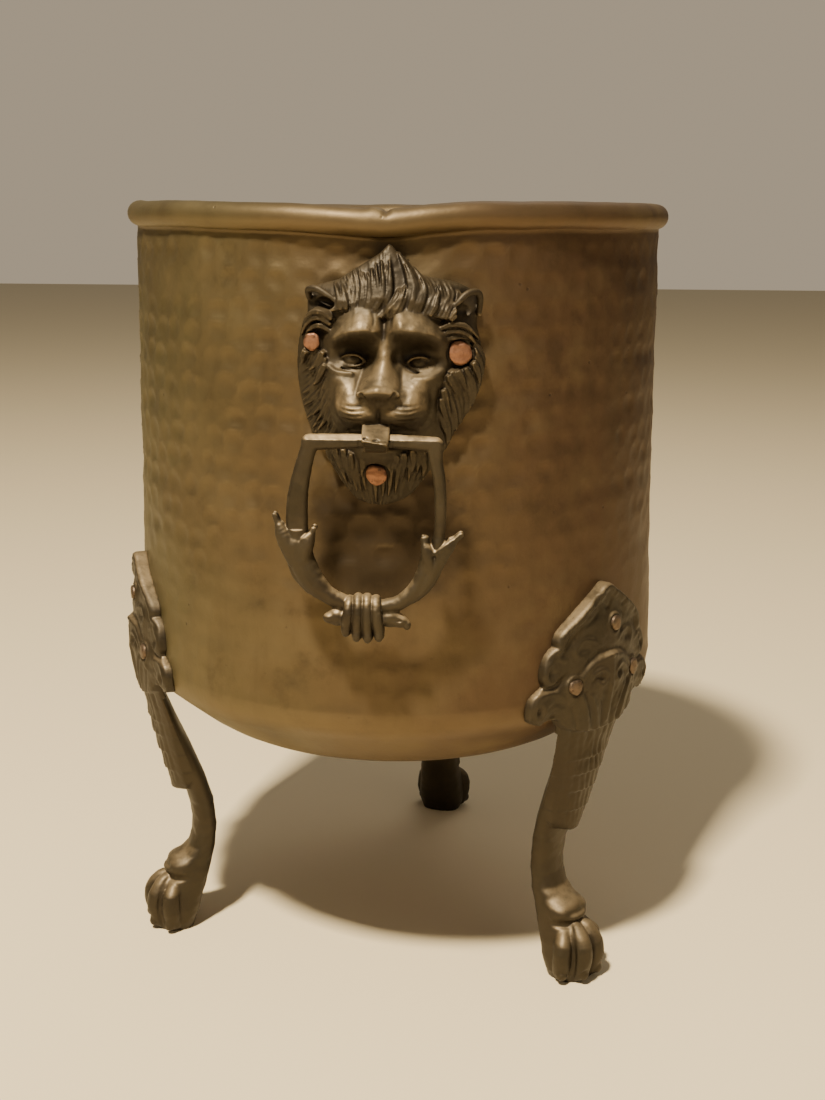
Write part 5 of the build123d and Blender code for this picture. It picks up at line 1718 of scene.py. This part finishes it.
verts, quads = build_leg(0.55)
verts = relax(verts, quads, rounds=2)
for leg, turn in LEG_ANGLES.items():
    placed = verts.copy()
    if leg == "leg_rear":
        # its upper edge is dressed back where the ring's grip passes
        degrees = np.degrees(np.arctan2(placed[:, 0], -placed[:, 1]))
        share = (smoothstep(3.0, 4.3, degrees) * smoothstep(169.6, 171.6, placed[:, 2])
                 * smoothstep(117.6, 119.4, np.hypot(placed[:, 0], placed[:, 1])))
        placed[:, :2] *= (1 - 0.9 * share / 120.0)[:, None]
    ob = make_mesh(f"{leg}_casting", turned(placed, turn), quads)
    store_tones(ob, quads, near_scale=0.7, far_scale=2.4, far_rounds=16)
    register(ob, mat_leg, "pot", leg)

rivet_sets = [(f"{end}_mask", MASK_RIVETS, turn, mat_rivet) for end, turn in ENDS.items()]
rivet_sets += [(leg, LEG_RIVETS, turn, mat_leg_rivet) for leg, turn in LEG_ANGLES.items()]
for seed, (part, rivets, turn, material) in enumerate(rivet_sets, start=5):
    ob = build_rivets(f"{part}_peened_rivets", rivets, turn, seed)
    register(ob, material, "pot", f"{part}_rivets")

mat_wire = wire_material()
register(build_wire(), mat_wire, "pot", "rim_wire")


# ------------------------------------------------------------------ stage, in metres
def build_floor(half):
    me = bpy.data.meshes.new("floor")
    me.from_pydata([(-half, -half, 0), (half, -half, 0), (half, half, 0), (-half, half, 0)],
                   [], [(0, 1, 2, 3)])
    floor = link_object("floor", me)
    me.materials.append(material_nodes("floor_plain").finish((0.92, 0.77, 0.51), roughness=0.75))


def build_world():
    """A soft sky that lights the scene, and a plain backdrop that the camera sees."""
    world = bpy.data.worlds.new("studio")
    bpy.context.scene.world = world
    n = Nodes(world)
    direction = n.add("SeparateXYZ", {0: n.add("TexCoord").outputs["Generated"]})
    height = n.add("MapRange", {"From Min": -1.0, "From Max": 1.0,
                                "Value": direction.outputs[2]})
    ramp = n.add("ValToRGB", {0: height.outputs[0]})
    low, high = ramp.color_ramp.elements
    low.position, low.color = 0.46, (0.52, 0.44, 0.34, 1)
    high.position, high.color = 0.80, (0.80, 0.72, 0.60, 1)
    sky = n.add("Background", {"Color": ramp.outputs[0], "Strength": 0.24})
    backdrop = n.add("Background", {"Color": (0.66, 0.54, 0.39, 1), "Strength": 0.62})
    seen = n.add("LightPath").outputs["Is Camera Ray"]
    blend = n.add("MixShader", {0: seen, 1: sky.outputs[0], 2: backdrop.outputs[0]})
    n.add("OutputWorld", {0: blend.outputs[0]})


def area_light(name, place, target, size, power, color):
    light = bpy.data.lights.new(name, "AREA")
    light.shape = "RECTANGLE"
    light.size = light.size_y = size
    light.energy = power
    light.color = color
    ob = link_object(name, light)
    ob.location = place
    aim = Vector(target) - Vector(place)
    ob.rotation_euler = aim.to_track_quat("-Z", "Y").to_euler()


def build_camera(place, aim, roll_degrees, lens):
    data = bpy.data.cameras.new("camera")
    camera = link_object("camera", data)
    data.sensor_fit = "VERTICAL"
    data.sensor_height = 36.0
    data.lens = lens
    data.clip_start = 0.01
    forward = Vector(aim).normalized()
    right = forward.cross(Vector((0, 0, 1))).normalized()
    up = right.cross(forward).normalized()
    roll = math.radians(roll_degrees)
    rolled_right = right * math.cos(roll) + up * math.sin(roll)
    rolled_up = up * math.cos(roll) - right * math.sin(roll)
    rotation = Matrix((rolled_right, rolled_up, -forward)).transposed().to_4x4()
    camera.matrix_world = Matrix.Translation(Vector(place)) @ rotation
    bpy.context.scene.camera = camera


build_floor(half=6.0)
build_world()
area_light("key", place=(-0.42, -1.00, 1.84), target=(0, -0.08, 0.20), size=0.17, power=94.0,
           color=(1.0, 0.87, 0.65))
area_light("fill", place=(1.5, -1.5, 0.9), target=(0, 0, 0.2), size=1.2, power=3.0,
           color=(1.0, 0.88, 0.72))
area_light("back", place=(0.3, 0.9, 1.5), target=(0, 0, 0.2), size=0.9, power=3.0,
           color=(1.0, 0.90, 0.76))
build_camera(place=(0.03142153 + AXIS_X * MM, -0.63214943, 0.32432808),
             aim=(-0.03733752, 0.97192315, -0.23231726), roll_degrees=0.404, lens=45.8181818)
